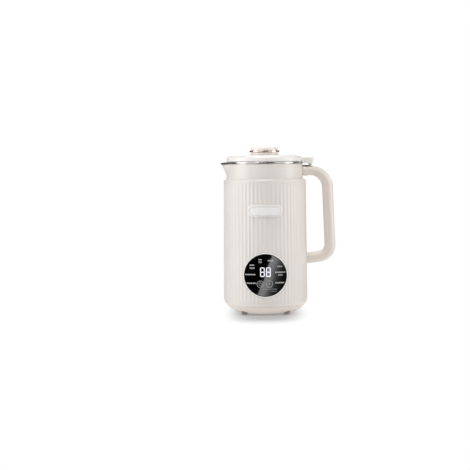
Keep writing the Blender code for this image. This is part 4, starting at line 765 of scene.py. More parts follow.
def make_flute_tree():
    """Presses upright flutes into a round wall where its flute_share attribute says so."""
    sizes = [("Flute count", "Float"), ("Flute depth", "Float"), ("Ridge sharpness", "Float")]
    inputs = [("Geometry", "Geometry"), *sizes, ("Axis x", "Float"), ("Material", "Material")]
    tree, given, result = new_group("Flutes", "GeometryNodeTree", inputs, [("Geometry", "Geometry")])
    place = tree.node("GeometryNodeInputPosition").outputs[0]
    x, y, _ = tree.about_axis(place, given["Axis x"])
    turn = tree.math("DIVIDE", tree.math("ARCTAN2", y, x), math.tau)
    flute = tree.math("MULTIPLY", turn, given["Flute count"])
    from_ridge = tree.math("MULTIPLY", tree.math("PINGPONG", flute, 0.5), 2.0)
    eased = tree.math("POWER", from_ridge, given["Ridge sharpness"])
    wave = tree.math("COSINE", tree.math("MULTIPLY", eased, math.pi))
    hollow = tree.math("MULTIPLY", tree.math("SUBTRACT", 1.0, wave), 0.5)
    share = tree.node("GeometryNodeInputNamedAttribute", {"Name": "flute_share"}, data_type="FLOAT")
    depth = tree.math("MULTIPLY", tree.math("MULTIPLY", hollow, share.outputs[0]), given["Flute depth"])
    inwards = tree.math("DIVIDE", tree.math("MULTIPLY", depth, -1.0), tree.radius(x, y))
    sideways = tree.math("MULTIPLY", x, inwards)
    offset = tree.node("ShaderNodeCombineXYZ", {0: sideways, 1: tree.math("MULTIPLY", y, inwards)})
    pressed = tree.node("GeometryNodeSetPosition", {0: given["Geometry"], "Offset": offset.outputs[0]})
    whole = tree.node("GeometryNodeRealizeInstances", {0: pressed.outputs[0]})
    coated = tree.node("GeometryNodeSetMaterial", {0: whole.outputs[0], "Material": given["Material"]})
    tree.feed(result["Geometry"], coated.outputs[0])
    return tree.tree


def make_copies_tree():
    """Sets a copy of a shape on each point, turned to face away from the axis."""
    inputs = [("Points", "Geometry"), ("Shape", "Object"), ("Axis x", "Float"), ("Material", "Material")]
    tree, given, result = new_group("Copies", "GeometryNodeTree", inputs, [("Geometry", "Geometry")])
    place = tree.node("GeometryNodeInputPosition").outputs[0]
    x, y, _ = tree.about_axis(place, given["Axis x"])
    turn = tree.node("ShaderNodeCombineXYZ", {2: tree.math("ARCTAN2", y, x)})
    shape = tree.node("GeometryNodeObjectInfo", {"Object": given["Shape"]}, transform_space="ORIGINAL")
    copies = tree.node(
        "GeometryNodeInstanceOnPoints",
        {
            "Points": given["Points"],
            "Instance": shape.outputs["Geometry"],
            "Rotation": turn.outputs[0],
        },
    )
    whole = tree.node("GeometryNodeRealizeInstances", {0: copies.outputs[0]})
    coated = tree.node("GeometryNodeSetMaterial", {0: whole.outputs[0], "Material": given["Material"]})
    tree.feed(result["Geometry"], coated.outputs[0])
    return tree.tree


# Materials.


def make_moulded_group():
    """The skin of a moulded or cast piece: a fine grain, faint patches of shade and uneven gloss."""
    inputs = [
        ("Vector", "Vector"),
        ("Colour", "Color"),
        ("Shade", "Color"),
        ("Grain", "Float"),
        ("Roughness", "Float"),
        ("Unevenness", "Float"),
    ]
    outputs = [("Colour", "Color"), ("Roughness", "Float"), ("Height", "Float")]
    tree, given, result = new_group("Moulded skin", "ShaderNodeTree", inputs, outputs)
    grain = tree.noise(given["Vector"], given["Grain"], 3)
    patch = tree.noise(given["Vector"], PATCHES, 4)
    touch = tree.noise(given["Vector"], TOUCHES, 5)
    shade = tree.spread(patch, *PATCH_RANGE)
    tree.feed(result["Colour"], tree.blend(shade, given["Colour"], given["Shade"]))
    uneven = tree.math("MULTIPLY", tree.math("SUBTRACT", touch, 0.5), given["Unevenness"])
    tree.feed(result["Roughness"], tree.math("ADD", given["Roughness"], uneven))
    tree.feed(result["Height"], grain)
    return tree.tree


def make_turned_group():
    """The skin of turned or drawn metal: fine lines that run round the axis, and uneven polish."""
    inputs = [
        ("Vector", "Vector"),
        ("Colour", "Color"),
        ("Shade", "Color"),
        ("Axis x", "Float"),
        ("Lines", "Float"),
        ("Roughness", "Float"),
        ("Unevenness", "Float"),
    ]
    outputs = [("Colour", "Color"), ("Roughness", "Float"), ("Height", "Float")]
    tree, given, result = new_group("Turned metal", "ShaderNodeTree", inputs, outputs)
    x, y, z = tree.about_axis(given["Vector"], given["Axis x"])
    along = tree.math("MULTIPLY", tree.math("ARCTAN2", y, x), LINE_DRIFT)
    line_place = tree.node("ShaderNodeCombineXYZ", {0: tree.radius(x, y), 1: z, 2: along})
    lines = tree.noise(line_place.outputs[0], given["Lines"], 4)
    smear = tree.noise(given["Vector"], SMEARS, 4)
    shade = tree.spread(lines, *LINE_RANGE)
    tree.feed(result["Colour"], tree.blend(shade, given["Colour"], given["Shade"]))
    both = tree.math("SUBTRACT", tree.math("ADD", lines, smear), 1.0)
    uneven = tree.math("MULTIPLY", both, given["Unevenness"])
    tree.feed(result["Roughness"], tree.math("ADD", given["Roughness"], uneven))
    tree.feed(result["Height"], lines)
    return tree.tree


def make_material(name, skin, colour, shade, roughness, unevenness, scale, height):
    """A finish. The turned skin is always a metal's."""
    material = bpy.data.materials.new(name)
    material.use_nodes = True
    tree = Tree(material.node_tree)
    shader = material.node_tree.nodes["Principled BSDF"]
    values = {
        "Vector": tree.node("ShaderNodeTexCoord").outputs["Object"],
        "Colour": (*colour, 1),
        "Shade": (*shade, 1),
        "Roughness": roughness,
        "Unevenness": unevenness,
    }
    if skin == "turned":
        values.update({"Axis x": AXIS_X, "Lines": scale})
        shader.inputs["Metallic"].default_value = 1
    else:
        values["Grain"] = scale
    surface = tree.node("ShaderNodeGroup", node_tree=SKINS[skin])
    for label, value in values.items():
        tree.feed(surface.inputs[label], value)
    tree.feed(shader.inputs["Base Color"], surface.outputs["Colour"])
    tree.feed(shader.inputs["Roughness"], surface.outputs["Roughness"])
    bump = tree.node("ShaderNodeBump", {"Height": surface.outputs["Height"], "Distance": height * MM})
    tree.feed(shader.inputs["Normal"], bump.outputs["Normal"])
    for label, value in FINISH_EXTRAS.get(name, {}).items():
        shader.inputs[label].default_value = value
    material.diffuse_color = (*colour, 1)
    return material


SKINS = {"moulded": make_moulded_group(), "turned": make_turned_group()}
MATERIALS = {name: make_material(name, *values) for name, values in FINISHES.items()}
FLUTES = make_flute_tree()
COPIES = make_copies_tree()


# Body.


def spaced(low, high, count):
    """Evenly spaced heights from just above the low one up to the high one."""
    return [low + (high - low) * i / count for i in range(1, count + 1)]


def make_shell():
    """The fluted shell, from the top of the base over its shoulder to the neck."""
    heights = spaced(SHELL_BOTTOM, ROUND_TOP, SHELL_ROUND_STEPS)
    heights += [*SHELL_ROWS, FLUTE_END[0], *spaced(*FLUTE_END, FADE_STEPS)]
    corners = [(body_radius(SHELL_BOTTOM), SHELL_BOTTOM, JOINT_EDGE)]
    corners += [(body_radius(z), z, 0) for z in heights]
    corners += [
        (SHOULDER_RADIUS + SHOULDER_LIP, SHELL_TOP - SHOULDER_DROP, SHOULDER_ROUND),
        (NECK_RADIUS + CLEARANCE, SHELL_TOP + LEDGE_RISE, CRISP),
        (NECK_RADIUS + CLEARANCE, SHELL_TOP - SHELL_WALL, 0),
        (SHOULDER_RADIUS - SHELL_WALL, SHELL_TOP - SHELL_WALL, 0),
        (BODY_RADIUS - SHELL_WALL, ROUND_TOP, 0),
        (body_radius(SHELL_BOTTOM) - SHELL_WALL, SHELL_BOTTOM, 0),
    ]
    mesh = turned("outer_shell", rounded(corners), FLUTE_COUNT * FLUTE_STEPS)
    share = mesh.attributes.new("flute_share", "FLOAT", "POINT")
    for vertex, entry in zip(mesh.vertices, share.data):
        x, y, z = ((vertex.co.x - AXIS_X) / MM, vertex.co.y / MM, vertex.co.z / MM)
        if math.hypot(x, y) > body_radius(z) - CLEARANCE:
            entry.value = smooth_step(z, *FLUTE_START) * (1 - smooth_step(z, *FLUTE_END))
    shell = new_object("body_shell", mesh)
    run_tree(
        shell,
        FLUTES,
        flute_count=float(FLUTE_COUNT),
        flute_depth=FLUTE_DEPTH * MM,
        ridge_sharpness=RIDGE_SHARPNESS,
        axis_x=AXIS_X,
        material=MATERIALS["cream_plastic"],
    )
    opening = rod("opening", BEZEL_RADIUS + CLEARANCE, *PANEL_CUT, "y", (0, PANEL_Z), PANEL_STEPS)
    half = (INLET_HALF_WIDTH + CLEARANCE, INLET_HALF_HEIGHT + CLEARANCE)
    socket = prism("socket", rectangle(*half, INLET_CORNER, (0, INLET_Z)), *INLET_CUT, "y")
    combined(shell, [opening, socket])
    finish(shell, "cream_plastic", "housing", ["outer_shell"])


def make_base():
    """The base dish, with its air slots, screw pockets and the recesses for its feet."""
    lowest = math.asin((ROUND_TOP - BASE_TOP) / BASE_RISE)
    outer = [(body_radius(BASE_TOP), BASE_TOP, JOINT_EDGE)]
    for i in range(1, BASE_ROUND_STEPS):
        turn = lowest + (math.pi / 2 - lowest) * i / BASE_ROUND_STEPS
        r = BODY_RADIUS - BASE_ROUND + BASE_ROUND * math.cos(turn)
        outer.append((r, ROUND_TOP - BASE_RISE * math.sin(turn), 0))
    inside = [(0, BASE_FLOOR, 0), (BASE_FLOOR_RADIUS, BASE_FLOOR, 0), (BASE_RIM_RADIUS, BASE_TOP, 0)]
    underside = [
        (BODY_RADIUS - BASE_ROUND, BASE_BOTTOM, 0),
        (HOLLOW_RADIUS + HOLLOW_SLANT, BASE_BOTTOM, HOLLOW_ROUND),
        (HOLLOW_RADIUS, BASE_BOTTOM + HOLLOW_DEPTH, CRISP),
        (0, BASE_BOTTOM + HOLLOW_DEPTH, 0),
    ]
    base = new_object("base_dish", turned("base", rounded(inside + outer + underside, closed=False)))
    plan = rectangle(SLOT_HALF_LENGTH, SLOT_HALF_WIDTH, SLOT_CORNER)
    slot = new_object("slot", prism("slot", plan, 0, SLOT_TOP))
    slot.data.transform(Matrix.Translation((-AXIS_X, 0, 0)))
    turns = [math.pi / SLOT_COUNT + math.tau / SLOT_COUNT * i for i in range(SLOT_COUNT)]
    slots = new_object("slots", ring_points(SLOT_CIRCLE, 0, turns))
    run_tree(slots, COPIES, shape=slot, axis_x=AXIS_X, material=MATERIALS["cream_plastic"])
    cutters = [slots.data]
    for turn in SCREW_TURNS:
        centre = upright(SCREW_CIRCLE, 0, turn)[:2]
        cutters.append(rod("pocket", SCREW_HEAD + CLEARANCE, 0, POCKET_TOP, centre=centre))
    for turn in FOOT_TURNS:
        centre = upright(FOOT_CIRCLE, 0, turn)[:2]
        cutters.append(rod("recess", RECESS_RADIUS, -PAST, RECESS_TOP, centre=centre))
    combined(base, cutters)
    for helper in (slot, slots):
        bpy.data.objects.remove(helper)
    finish(base, "base_plastic", "housing", ["base_cover"])


def ring_points(radius, z, turns):
    """Places on a level circle round the body's axis."""
    mesh = bpy.data.meshes.new("places")
    places = [upright(radius, z, turn) for turn in turns]
    mesh.from_pydata([(AXIS_X + x * MM, y * MM, z * MM) for x, y, z in places], [], [])
    return mesh


def make_copies(name, mesh, points, material, nodes):
    """One piece of the housing from copies of a mesh that stands on the body's axis."""
    mesh.transform(Matrix.Translation((-AXIS_X, 0, 0)))
    shape = new_object("shape", mesh)
    piece = new_object(name, points)
    run_tree(piece, COPIES, shape=shape, axis_x=AXIS_X, material=MATERIALS[material])
    bpy.data.objects.remove(shape)
    finish(piece, material, "housing", nodes)


def foot_mesh():
    """A round rubber foot that stands on a smaller pad."""
    corners = [
        (0, 0, 0),
        (FOOT_PAD, 0, CRISP),
        (FOOT_PAD + FOOT_PAD_SLANT, FOOT_PAD_HEIGHT, 0),
        (FOOT_RADIUS - FOOT_ROUND, FOOT_PAD_HEIGHT, FOOT_ROUND),
        (FOOT_RADIUS, FOOT_HEIGHT, FINE),
        (0, FOOT_HEIGHT, 0),
    ]
    return turned("foot", rounded(corners, closed=False), SMALL_STEPS)


def screw_mesh(length):
    """A pan-head screw with a cross recess, its head's underside at z = 0 and its head below."""
    corners = [
        (0, -SCREW_HEAD_DEPTH, 0),
        (SCREW_HEAD, -SCREW_HEAD_DEPTH, SCREW_CROWN),
        (SCREW_HEAD, 0, CRISP / 2),
        (SCREW_RADIUS, 0, 0),
        (SCREW_RADIUS, length - SCREW_TAPER, 0),
        (SCREW_TIP, length, 0),
        (0, length, 0),
    ]
    screw = new_object("screw", turned("screw", rounded(corners, closed=False), SMALL_STEPS))
    half = (CROSS_REACH, CROSS_HALF_WIDTH)
    depths = (-SCREW_HEAD_DEPTH - PAST, -SCREW_HEAD_DEPTH + CROSS_DEPTH)
    combined(screw, [prism("arm", rectangle(*sizes, 0), *depths) for sizes in (half, half[::-1])])
    mesh = screw.data
    bpy.data.objects.remove(screw)
    return mesh


def make_feet_and_screws():
    """The four feet as one piece, and the four screws of the base as another."""
    nodes = [f"foot_{i}" for i in range(1, 5)]
    points = ring_points(FOOT_CIRCLE, 0, FOOT_TURNS)
    make_copies("feet", foot_mesh(), points, "foot_rubber", nodes)
    nodes = [f"base_screw_{i}" for i in range(1, 5)]
    points = ring_points(SCREW_CIRCLE, SCREW_SEAT, SCREW_TURNS)
    make_copies("base_screws", screw_mesh(BASE_SCREW_LENGTH), points, "zinc_steel", nodes)


def make_neck():
    """The collar over the shoulder, drawn out into the spout."""
    corners = [
        (NECK_RADIUS, NECK_TOP, FULL),
        (NECK_RADIUS, NECK_LEDGE, CRISP),
        (LEDGE_RADIUS, NECK_LEDGE, CRISP),
        (LEDGE_RADIUS, NECK_BOTTOM, 0),
        (NECK_RADIUS, NECK_BOTTOM, 0),
        (NECK_RADIUS, NECK_SKIRT, 0),
        (NECK_BORE, NECK_SKIRT, 0),
        (NECK_BORE, NECK_TOP, SOFT),
    ]
    outline = refined(rounded(corners), *NECK_ROWS)
    neck = new_object("neck", turned("neck", outline, SPOUT_STEPS, flared))
    finish(neck, "cream_plastic", "housing", ["neck_collar"])


def make_cup():
    """The steel cup with its rolled rim, open below for the drive."""
    corners = [
        (CUP_BORE, RIM_TOP, FULL),
        (RIM_RADIUS, RIM_TOP, RIM_ROUND),
        (RIM_RADIUS, RIM_BOTTOM, RIM_ROUND),
        (CUP_RADIUS, RIM_BOTTOM, 0),
        (CUP_RADIUS, CUP_BOTTOM, CUP_CORNER),
        (CUP_HOLE, CUP_BOTTOM, 0),
        (CUP_HOLE, CUP_FLOOR, 0),
        (CUP_BORE, CUP_FLOOR, CUP_CORNER - (CUP_FLOOR - CUP_BOTTOM)),
    ]
    outline = refined(rounded(corners, steps=10), *CUP_ROWS)
    cup = new_object("cup", turned("cup", outline, SPOUT_STEPS, flared))
    finish(cup, "polished_steel", "housing", ["inner_cup"])


# Lid and knob.


def make_lid():
    """The lid's cover, with a tab that reaches over the handle and a cam under the tab."""
    corners = [(LID_HOLE, LID_TOP, 0)]
    for i in range(LID_STEPS + 1):
        turn = math.pi / 2 * i / LID_STEPS
        r = LID_FLAT + (LID_RADIUS - LID_FLAT) * math.sin(turn) ** (2 / LID_FULLNESS)
        corners.append((r, LID_TOP - LID_DROP * (1 - math.cos(turn)), 0))
    corners += [
        (LID_RADIUS, LID_BOTTOM, SOFT),
        (LID_RADIUS - LID_WALL, LID_BOTTOM, CRISP),
        (LID_RADIUS - LID_WALL, LID_WALL_TOP, 0),
    ]
    corners += [(r, z, 0) for r, z in LID_UNDERSIDE]
    lid = new_object("lid", turned("lid", rounded(corners)))
    plan = [
        (TAB_START, -TAB_HALF, 0),
        (TAB_END, -TAB_HALF, TAB_CORNER),
        (TAB_END, TAB_HALF, TAB_CORNER),
        (TAB_START, TAB_HALF, 0),
    ]
    tab = new_object("tab", prism("tab", rounded(plan, steps=8), TAB_BOTTOM, TAB_TOP))
    room = rectangle(ROOM_END - ROOM_MIDDLE, ROOM_HALF_WIDTH, 0, (ROOM_MIDDLE, 0))
    combined(tab, [prism("room", room, ROOM_BOTTOM, ROOM_TOP)])
    bevelled(tab, TAB_ROUND)
    cam = rod("cam", CAM_RADIUS, CAM_BOTTOM, TAB_BOTTOM + CAM_SINK, centre=(PIN_X, 0))
    combined(lid, [tab.data, cam], "UNION")
    bpy.data.objects.remove(tab)
    finish(lid, "lid_plastic", "lid", ["lid_cover"])


def make_liner():
    """The plug under the lid, with a ridge below and above its seal."""
    corners = [
        (0, LINER_BOTTOM + DISH_DEPTH, 0),
        (DISH_RADIUS, LINER_BOTTOM + DISH_DEPTH, DISH_ROUND),
        (DISH_RADIUS + DISH_SLANT, LINER_BOTTOM, DISH_ROUND),
        (LINER_RIDGE, LINER_BOTTOM, SOFT),
        (LINER_RIDGE, LINER_BOTTOM + RIDGE_HEIGHT, CRISP),
        (LINER_RADIUS, LINER_BOTTOM + RIDGE_HEIGHT, 0),
        (LINER_RADIUS, UPPER_RIDGE, 0),
        (LINER_RIDGE, UPPER_RIDGE, CRISP),
        (LINER_RIDGE, UPPER_RIDGE + RIDGE_HEIGHT, CRISP),
        (LINER_RADIUS, UPPER_RIDGE + RIDGE_HEIGHT, CRISP),
        (LINER_RADIUS, LINER_TOP, 0),
        (LINER_RADIUS - LINER_WALL, LINER_TOP, 0),
        (LINER_RADIUS - LINER_WALL, LINER_BOTTOM + LINER_FLOOR, 0),
        (0, LINER_BOTTOM + LINER_FLOOR, 0),
    ]
    plug = new_object("lid_plug", turned("lid_plug", rounded(corners, closed=False)))
    finish(plug, "lid_plastic", "lid", ["lid_liner"])


def make_seal():
    """The silicone ring round the liner, with two lips between three valleys."""
    inner = LINER_RADIUS + CLEARANCE
    valley = (SEAL_VALLEY, CRISP)
    lip = (SEAL_RADIUS, SOFT)
    corners = [(inner, SEAL_BOTTOM, 0)]
    for i, (r, edge) in enumerate((valley, lip, valley, lip, valley)):
        corners.append((r, SEAL_BOTTOM + SEAL_PITCH * i, edge))
    corners.append((inner, corners[-1][1], 0))
    ring = new_object("seal_ring", turned("seal_ring", rounded(corners, steps=4, hold=0.1)))
    finish(ring, "silicone", "lid", ["lid_seal"])


def make_knob():
    """The knob: a base with a spigot, a bright ring round the spigot, and a domed cap on top."""
    base = [
        (LID_HOLE, KNOB_BOTTOM, 0),
        (KNOB_RADIUS, KNOB_BOTTOM, KNOB_BASE_ROUND),
        (KNOB_RADIUS, KNOB_BASE_TOP, SOFT),
        (SPIGOT_RADIUS, KNOB_BASE_TOP, 0),
        (SPIGOT_RADIUS, RING_TOP, 0),
        (LID_HOLE, RING_TOP, 0),
    ]
    foot = new_object("knob_foot", turned("knob_foot", rounded(base)))
    finish(foot, "knob_plastic", "lid", ["knob_base"])
    band = [
        (SPIGOT_RADIUS + CLEARANCE, RING_BOTTOM, 0),
        (RING_RADIUS, RING_BOTTOM, FULL),
        (RING_RADIUS, RING_TOP, FULL),
        (SPIGOT_RADIUS + CLEARANCE, RING_TOP, 0),
    ]
    ring = new_object("knob_band", turned("knob_band", rounded(band, steps=10)))
    finish(ring, "copper_plate", "lid", ["knob_ring"])
    top = [(0, CAP_BOTTOM, 0), (CAP_RADIUS, CAP_BOTTOM, CRISP), (CAP_RADIUS, CAP_TOP - CAP_DOME, CAP_ROUND)]
    for i in range(2, CAP_STEPS + 1):
        share = 1 - i / CAP_STEPS
        top.append((CAP_RADIUS * share, CAP_TOP - CAP_DOME * share**2, 0))
    cap = new_object("knob_button", turned("knob_button", rounded(top, closed=False, steps=9)))
    finish(cap, "knob_plastic", "lid", ["knob_cap"])


# Handle.


def handle_stations():
    """(x, z, heading, thickness) along the handle, from inside the neck round to inside the shell."""
    x = ARM_END
    z = ARM_Z
    heading = 0
    stations = [(start, z, heading, UPPER_THICKNESS) for start in (HANDLE_START, HANDLE_ROOT, ARM_END)]
    bends = (
        (-math.pi / 2 + GRIP_LEAN, UPPER_BEND, UPPER_THICKNESS, GRIP_THICKNESS, GRIP_LENGTH),
        (-math.pi + LOWER_SLOPE, LOWER_BEND, GRIP_THICKNESS, LOWER_THICKNESS, None),
    )
    for end_heading, radius, from_thickness, to_thickness, straight in bends:
        turn = (end_heading - heading) / BEND_STEPS
        chord = 2 * radius * math.sin(abs(turn) / 2)
        for step in range(BEND_STEPS):
            x += chord * math.cos(heading + turn / 2)
            z += chord * math.sin(heading + turn / 2)
            heading += turn
            share = smooth_step(step + 1, 0, BEND_STEPS)
            thickness = from_thickness + (to_thickness - from_thickness) * share
            stations.append((x, z, heading, thickness))
        if straight is None:
            straight = (x - BODY_RADIUS + LOWER_SINK) / abs(math.cos(heading))
        for part in STRAIGHT_PARTS:
            place = (x + straight * part * math.cos(heading), z + straight * part * math.sin(heading))
            stations.append((*place, heading, thickness))
        x, z = place
    return stations


def half_section(thickness, side, inset):
    """(across, outwards) points of one half of the handle's section, from one seam edge to the other. The
    outer skin has rounded seam edges."""
    half = HANDLE_WIDTH / 2 - inset
    reach = thickness / 2 - inset
    corner = HANDLE_ROUNDING * thickness - inset
    seam = SEAM_GAP / 2
    rim = [(half, seam)]
    if inset == 0:
        near = SEAM_ROUND * SEAM_SHARE
        rim = [(half - SEAM_ROUND, seam), (half - near, seam + near), (half, seam + SEAM_ROUND)]
    arc = [math.pi / 2 * i / CORNER_STEPS for i in range(CORNER_STEPS + 1)]
    rim += [(half - corner + corner * math.cos(a), reach - corner + corner * math.sin(a)) for a in arc]
    near_side = [(y, side * out) for y, out in rim]
    far_side = [(-y, side * out) for y, out in rim[::-1]]
    return near_side + far_side


def make_handle_half(name, side, node):
    """One half of the handle, a hollow shell. Side is 1 for the outer half and -1 for the inner one."""
    rings = []
    for x, z, heading, thickness in handle_stations():
        outline = half_section(thickness, side, 0)
        outline += half_section(thickness, side, HANDLE_WALL)[::-1]
        rings.append([(x - o * math.sin(heading), y, z + o * math.cos(heading)) for y, o in outline])
    half = new_object(name, lofted(name, rings))
    cutters = [rod("neck_cut", *NECK_CUT, steps=TURN_STEPS), rod("body_cut", *BODY_CUT, steps=TURN_STEPS)]
    if side > 0:
        cutters.append(rod("pin_hole", PIN_HOLE, ARM_Z, NECK_TOP, centre=(PIN_X, 0)))
    else:
        cutters.append(rod("pocket", SCREW_HEAD + CLEARANCE, *UPPER_POCKET, centre=(UPPER_SCREW_X, 0)))
    combined(half, cutters)
    finish(half, "handle_plastic", "housing", [node])


def make_handle():
    make_handle_half("handle_back", 1, "handle_outer_shell")
    make_handle_half("handle_front", -1, "handle_inner_shell")


def make_interlock():
    """The pin that the lid's tab presses, with its collar, and the dark plate that it comes up through, a
    piece of painted shade that gives the dark line under the lid's tab.
    """
    corners = [
        (0, PIN_BOTTOM, 0),
        (COLLAR_RADIUS, PIN_BOTTOM, FINE),
        (COLLAR_RADIUS, COLLAR_TOP, FINE),
        (PIN_RADIUS, COLLAR_TOP, FINE),
        (PIN_RADIUS, PIN_TOP, PIN_ROUND),
        (0, PIN_TOP, 0),
    ]
    mesh = turned("interlock_pin", rounded(corners, closed=False), SMALL_STEPS)
    mesh.transform(Matrix.Translation((PIN_X * MM, 0, 0)))
    pin = new_object("interlock_pin", mesh)
    finish(pin, "lid_plastic", "interlock", ["interlock_plunger"])
    # Painted shade: a dark plate on the arm's top, where the lid's tab shades the arm.
    plan = rectangle(*SHADE_PLATE_SIZES, (SHADE_PLATE_X, 0))
    plate = new_object("pin_plate", prism("pin_plate", plan, *SHADE_PLATE_HEIGHTS))
    combined(plate, [rod("hole", PIN_HOLE, ARM_Z, RIM_BOTTOM, centre=(PIN_X, 0))])
    bevelled(plate, SHADE_PLATE_ROUND, 2)
    finish(plate, "dark_plastic", "housing")


def make_handle_screw():
    screw = screw_mesh(HANDLE_SCREW_LENGTH)
    screw.transform(Matrix.Translation((UPPER_SCREW_X * MM, 0, UPPER_SCREW_SEAT * MM)))
    finish(new_object("handle_screw", screw), "zinc_steel", "housing", ["handle_screw_upper"])


# Panel.


def on_panel(face):
    """Places (distance from the panel's middle, depth) on an upright cylinder in front of the body."""

    def place(r, depth, angle):
        x = r * math.cos(angle)
        return (x, depth - math.sqrt(face**2 - x**2), PANEL_Z + r * math.sin(angle))

    return place


def make_panel():
    """The glass of the panel and the bezel round it."""
    corners = [(r, 0, 0) for r in PANEL_RINGS]
    corners += [(PANEL_RADIUS, 0, SOFT), (PANEL_RADIUS, PANEL_THICKNESS, 0)]
    corners += [(r, PANEL_THICKNESS, 0) for r in PANEL_BACK_RINGS]
    glass = turned("panel_glass", rounded(corners, closed=False), PANEL_STEPS, on_panel(PANEL_FACE))
    finish(new_object("panel_glass", glass), "black_gloss", "housing", ["display_panel"])
    corners = [
        (PANEL_RADIUS + BEZEL_GAP, 0, SOFT),
        (BEZEL_RADIUS, 0, FULL),
        (BEZEL_RADIUS, BEZEL_DEPTH, 0),
        (PANEL_RADIUS + BEZEL_GAP, BEZEL_DEPTH, 0),
    ]
    bezel = turned("panel_ring", rounded(corners, steps=6), BEZEL_STEPS, on_panel(BEZEL_FACE))
    finish(new_object("panel_ring", bezel), "bright_trim", "housing", ["display_bezel"])


def stroke(points, width, closed=False):
    """(left, right) edge points along a stroke with round ends, in the plane of the panel."""
    path = [Vector(point) for point in points]
    half = width / 2
    sampled = []
    ends = path[1:] + path[:1] if closed else path[1:]
    for start, end in zip(path, ends):
        pieces = max(1, math.ceil((end - start).length / STROKE_ROW))
        sampled += [start.lerp(end, i / pieces) for i in range(pieces)]
    reaches = [half] * len(sampled)
    if not closed:
        sampled.append(path[-1])
        start_run = (sampled[0] - sampled[1]).normalized()
        end_run = (sampled[-1] - sampled[-2]).normalized()
        caps = [math.sin(math.pi / 2 * i / STROKE_END_STEPS) for i in range(STROKE_END_STEPS, 0, -1)]
        caps = [half * cap * STROKE_END_SHARE for cap in caps]
        cap_reaches = [math.sqrt(half**2 - cap**2) for cap in caps]
        reaches = cap_reaches + [half] * len(sampled) + cap_reaches[::-1]
        start_cap = [sampled[0] + start_run * cap for cap in caps]
        end_cap = [sampled[-1] + end_run * cap for cap in caps[::-1]]
        sampled = start_cap + sampled + end_cap
    rows = []
    count = len(sampled)
    for i, (point, reach) in enumerate(zip(sampled, reaches)):
        before = sampled[i - 1] if closed or i else point
        after = sampled[(i + 1) % count] if closed or i < count - 1 else point
        run = (after - before).normalized()
        side = Vector((-run.y, run.x)) * reach
        rows.append((point + side, point - side))
    return rows


def make_marks(name, finish_name, strokes):
    """Thin raised marks on the panel, one closed strip for each stroke of (points, width, closed)."""
    points = []
    faces = []
    for path, width, closed in strokes:
        rows = stroke(path, width, closed)
        first = len(points)
        for left, right in rows:
            for (x, z), out in (
                (left, MARK_LIFT),
                (right, MARK_LIFT),
                (right, -MARK_SINK),
                (left, -MARK_SINK),
            ):
                points.append((x, -math.sqrt((PANEL_FACE + out) ** 2 - x**2), PANEL_Z + z))
        count = len(rows)
        for i in range(count if closed else count - 1):
            near = first + 4 * i
            far = first + 4 * ((i + 1) % count)
            faces += [(near + a, near + (a + 1) % 4, far + (a + 1) % 4, far + a) for a in range(4)]
        if not closed:
            faces.append((first, first + 3, first + 2, first + 1))
            last = first + 4 * (count - 1)
            faces.append((last, last + 1, last + 2, last + 3))
    marks = new_object(name, mesh_of(name, points, faces))
    finish(marks, finish_name, "housing")


def arc_points(x, z, radius, start=0, end=math.tau, steps=28):
    """Points along part of a circle on the panel, anticlockwise as seen from the front."""
    turns = [start + (end - start) * i / steps for i in range(steps + 1)]
    return [(x + radius * math.cos(turn), z + radius * math.sin(turn)) for turn in turns]


def digit_strokes(x, z, width):
    """The seven segments of a figure eight."""
    a = width / 2 - DIGIT_LINE / 2
    b = DIGIT_HEIGHT / 2 - DIGIT_LINE / 2
    gap = DIGIT_LINE * SEGMENT_GAP
    segments = [[(x - a + gap, z + level), (x + a - gap, z + level)] for level in (-b, 0, b)]
    for side in (-a, a):
        for low in (-b, 0):
            segments.append([(x + side, z + low + gap), (x + side, z + low + b - gap)])
    return [(segment, DIGIT_LINE, False) for segment in segments]


def label_strokes(x, z, length):
    """A label, as a row of short upright strokes."""
    count = round(length / LABEL_PITCH)
    strokes = []
    for i in range(count):
        place = x + LABEL_PITCH * (i - (count - 1) / 2)
        foot = z - LABEL_DROP
        height = LABEL_STROKES[i % len(LABEL_STROKES)]
        strokes.append(([(place, foot), (place, foot + height)], LABEL_LINE, False))
    return strokes


def key_strokes():
    """The rings of the two keys, the symbols in them and the lines below."""
    strokes = [(arc_points(*key, KEY_RADIUS)[:-1], KEY_LINE, True) for key in (OPEN_KEY, CROSS_KEY)]
    top = math.pi / 2
    circle = arc_points(*OPEN_KEY, SYMBOL_RADIUS, top + SYMBOL_OPENING, top + math.tau - SYMBOL_OPENING)
    x, z = OPEN_KEY
    bar = [(x, z + height) for height in SYMBOL_BAR]
    x, z = CROSS_KEY
    across = [(x - CROSS_ARM, z), (x + CROSS_ARM, z)]
    upwards = [(x, z - CROSS_ARM), (x, z + CROSS_ARM)]
    strokes += [(symbol, SYMBOL_LINE, False) for symbol in (circle, bar, across, upwards)]
    strokes += [([(left, up), (right, up)], UNDERLINE_WIDTH, False) for left, right, up in UNDERLINES]
    return strokes


# Name plate.


def bent_plate(name, outlines):
    """A plate bent to the body from outlines (half width, half height, corner, depth, drop) in order from
    its back over its edge to its front, or on into a hollow in its front. The drop lowers an outline."""
    points = []
    for *sizes, depth, drop in outlines:
        outline = resampled(rectangle(*sizes, steps=10), PLATE_POINTS)
        points += [(x, depth - math.sqrt(PLATE_FACE**2 - x**2), PLATE_Z - drop + z) for x, z in outline]
    faces = band_faces(len(outlines), PLATE_POINTS)
    fill_bent(points, faces, (len(outlines) - 1) * PLATE_POINTS, False)
    fill_bent(points, faces, 0, True)
    return new_object(name, mesh_of(name, points, faces))


def edge_rows(half_width, half_height, corner, edge, drop=0, outwards=1):
    """Outlines over a rounded edge, from its side to the front, or back down again when outwards is -1."""
    rows = []
    for i in range(EDGE_STEPS + 1):
        turn = math.pi / 2 * i / EDGE_STEPS
        inset = edge * (1 - math.cos(turn)) * outwards
        sizes = (half_width - inset, half_height - inset, corner - inset)
        rows.append((*sizes, edge * (1 - math.sin(turn)), drop))
    return rows[::outwards]


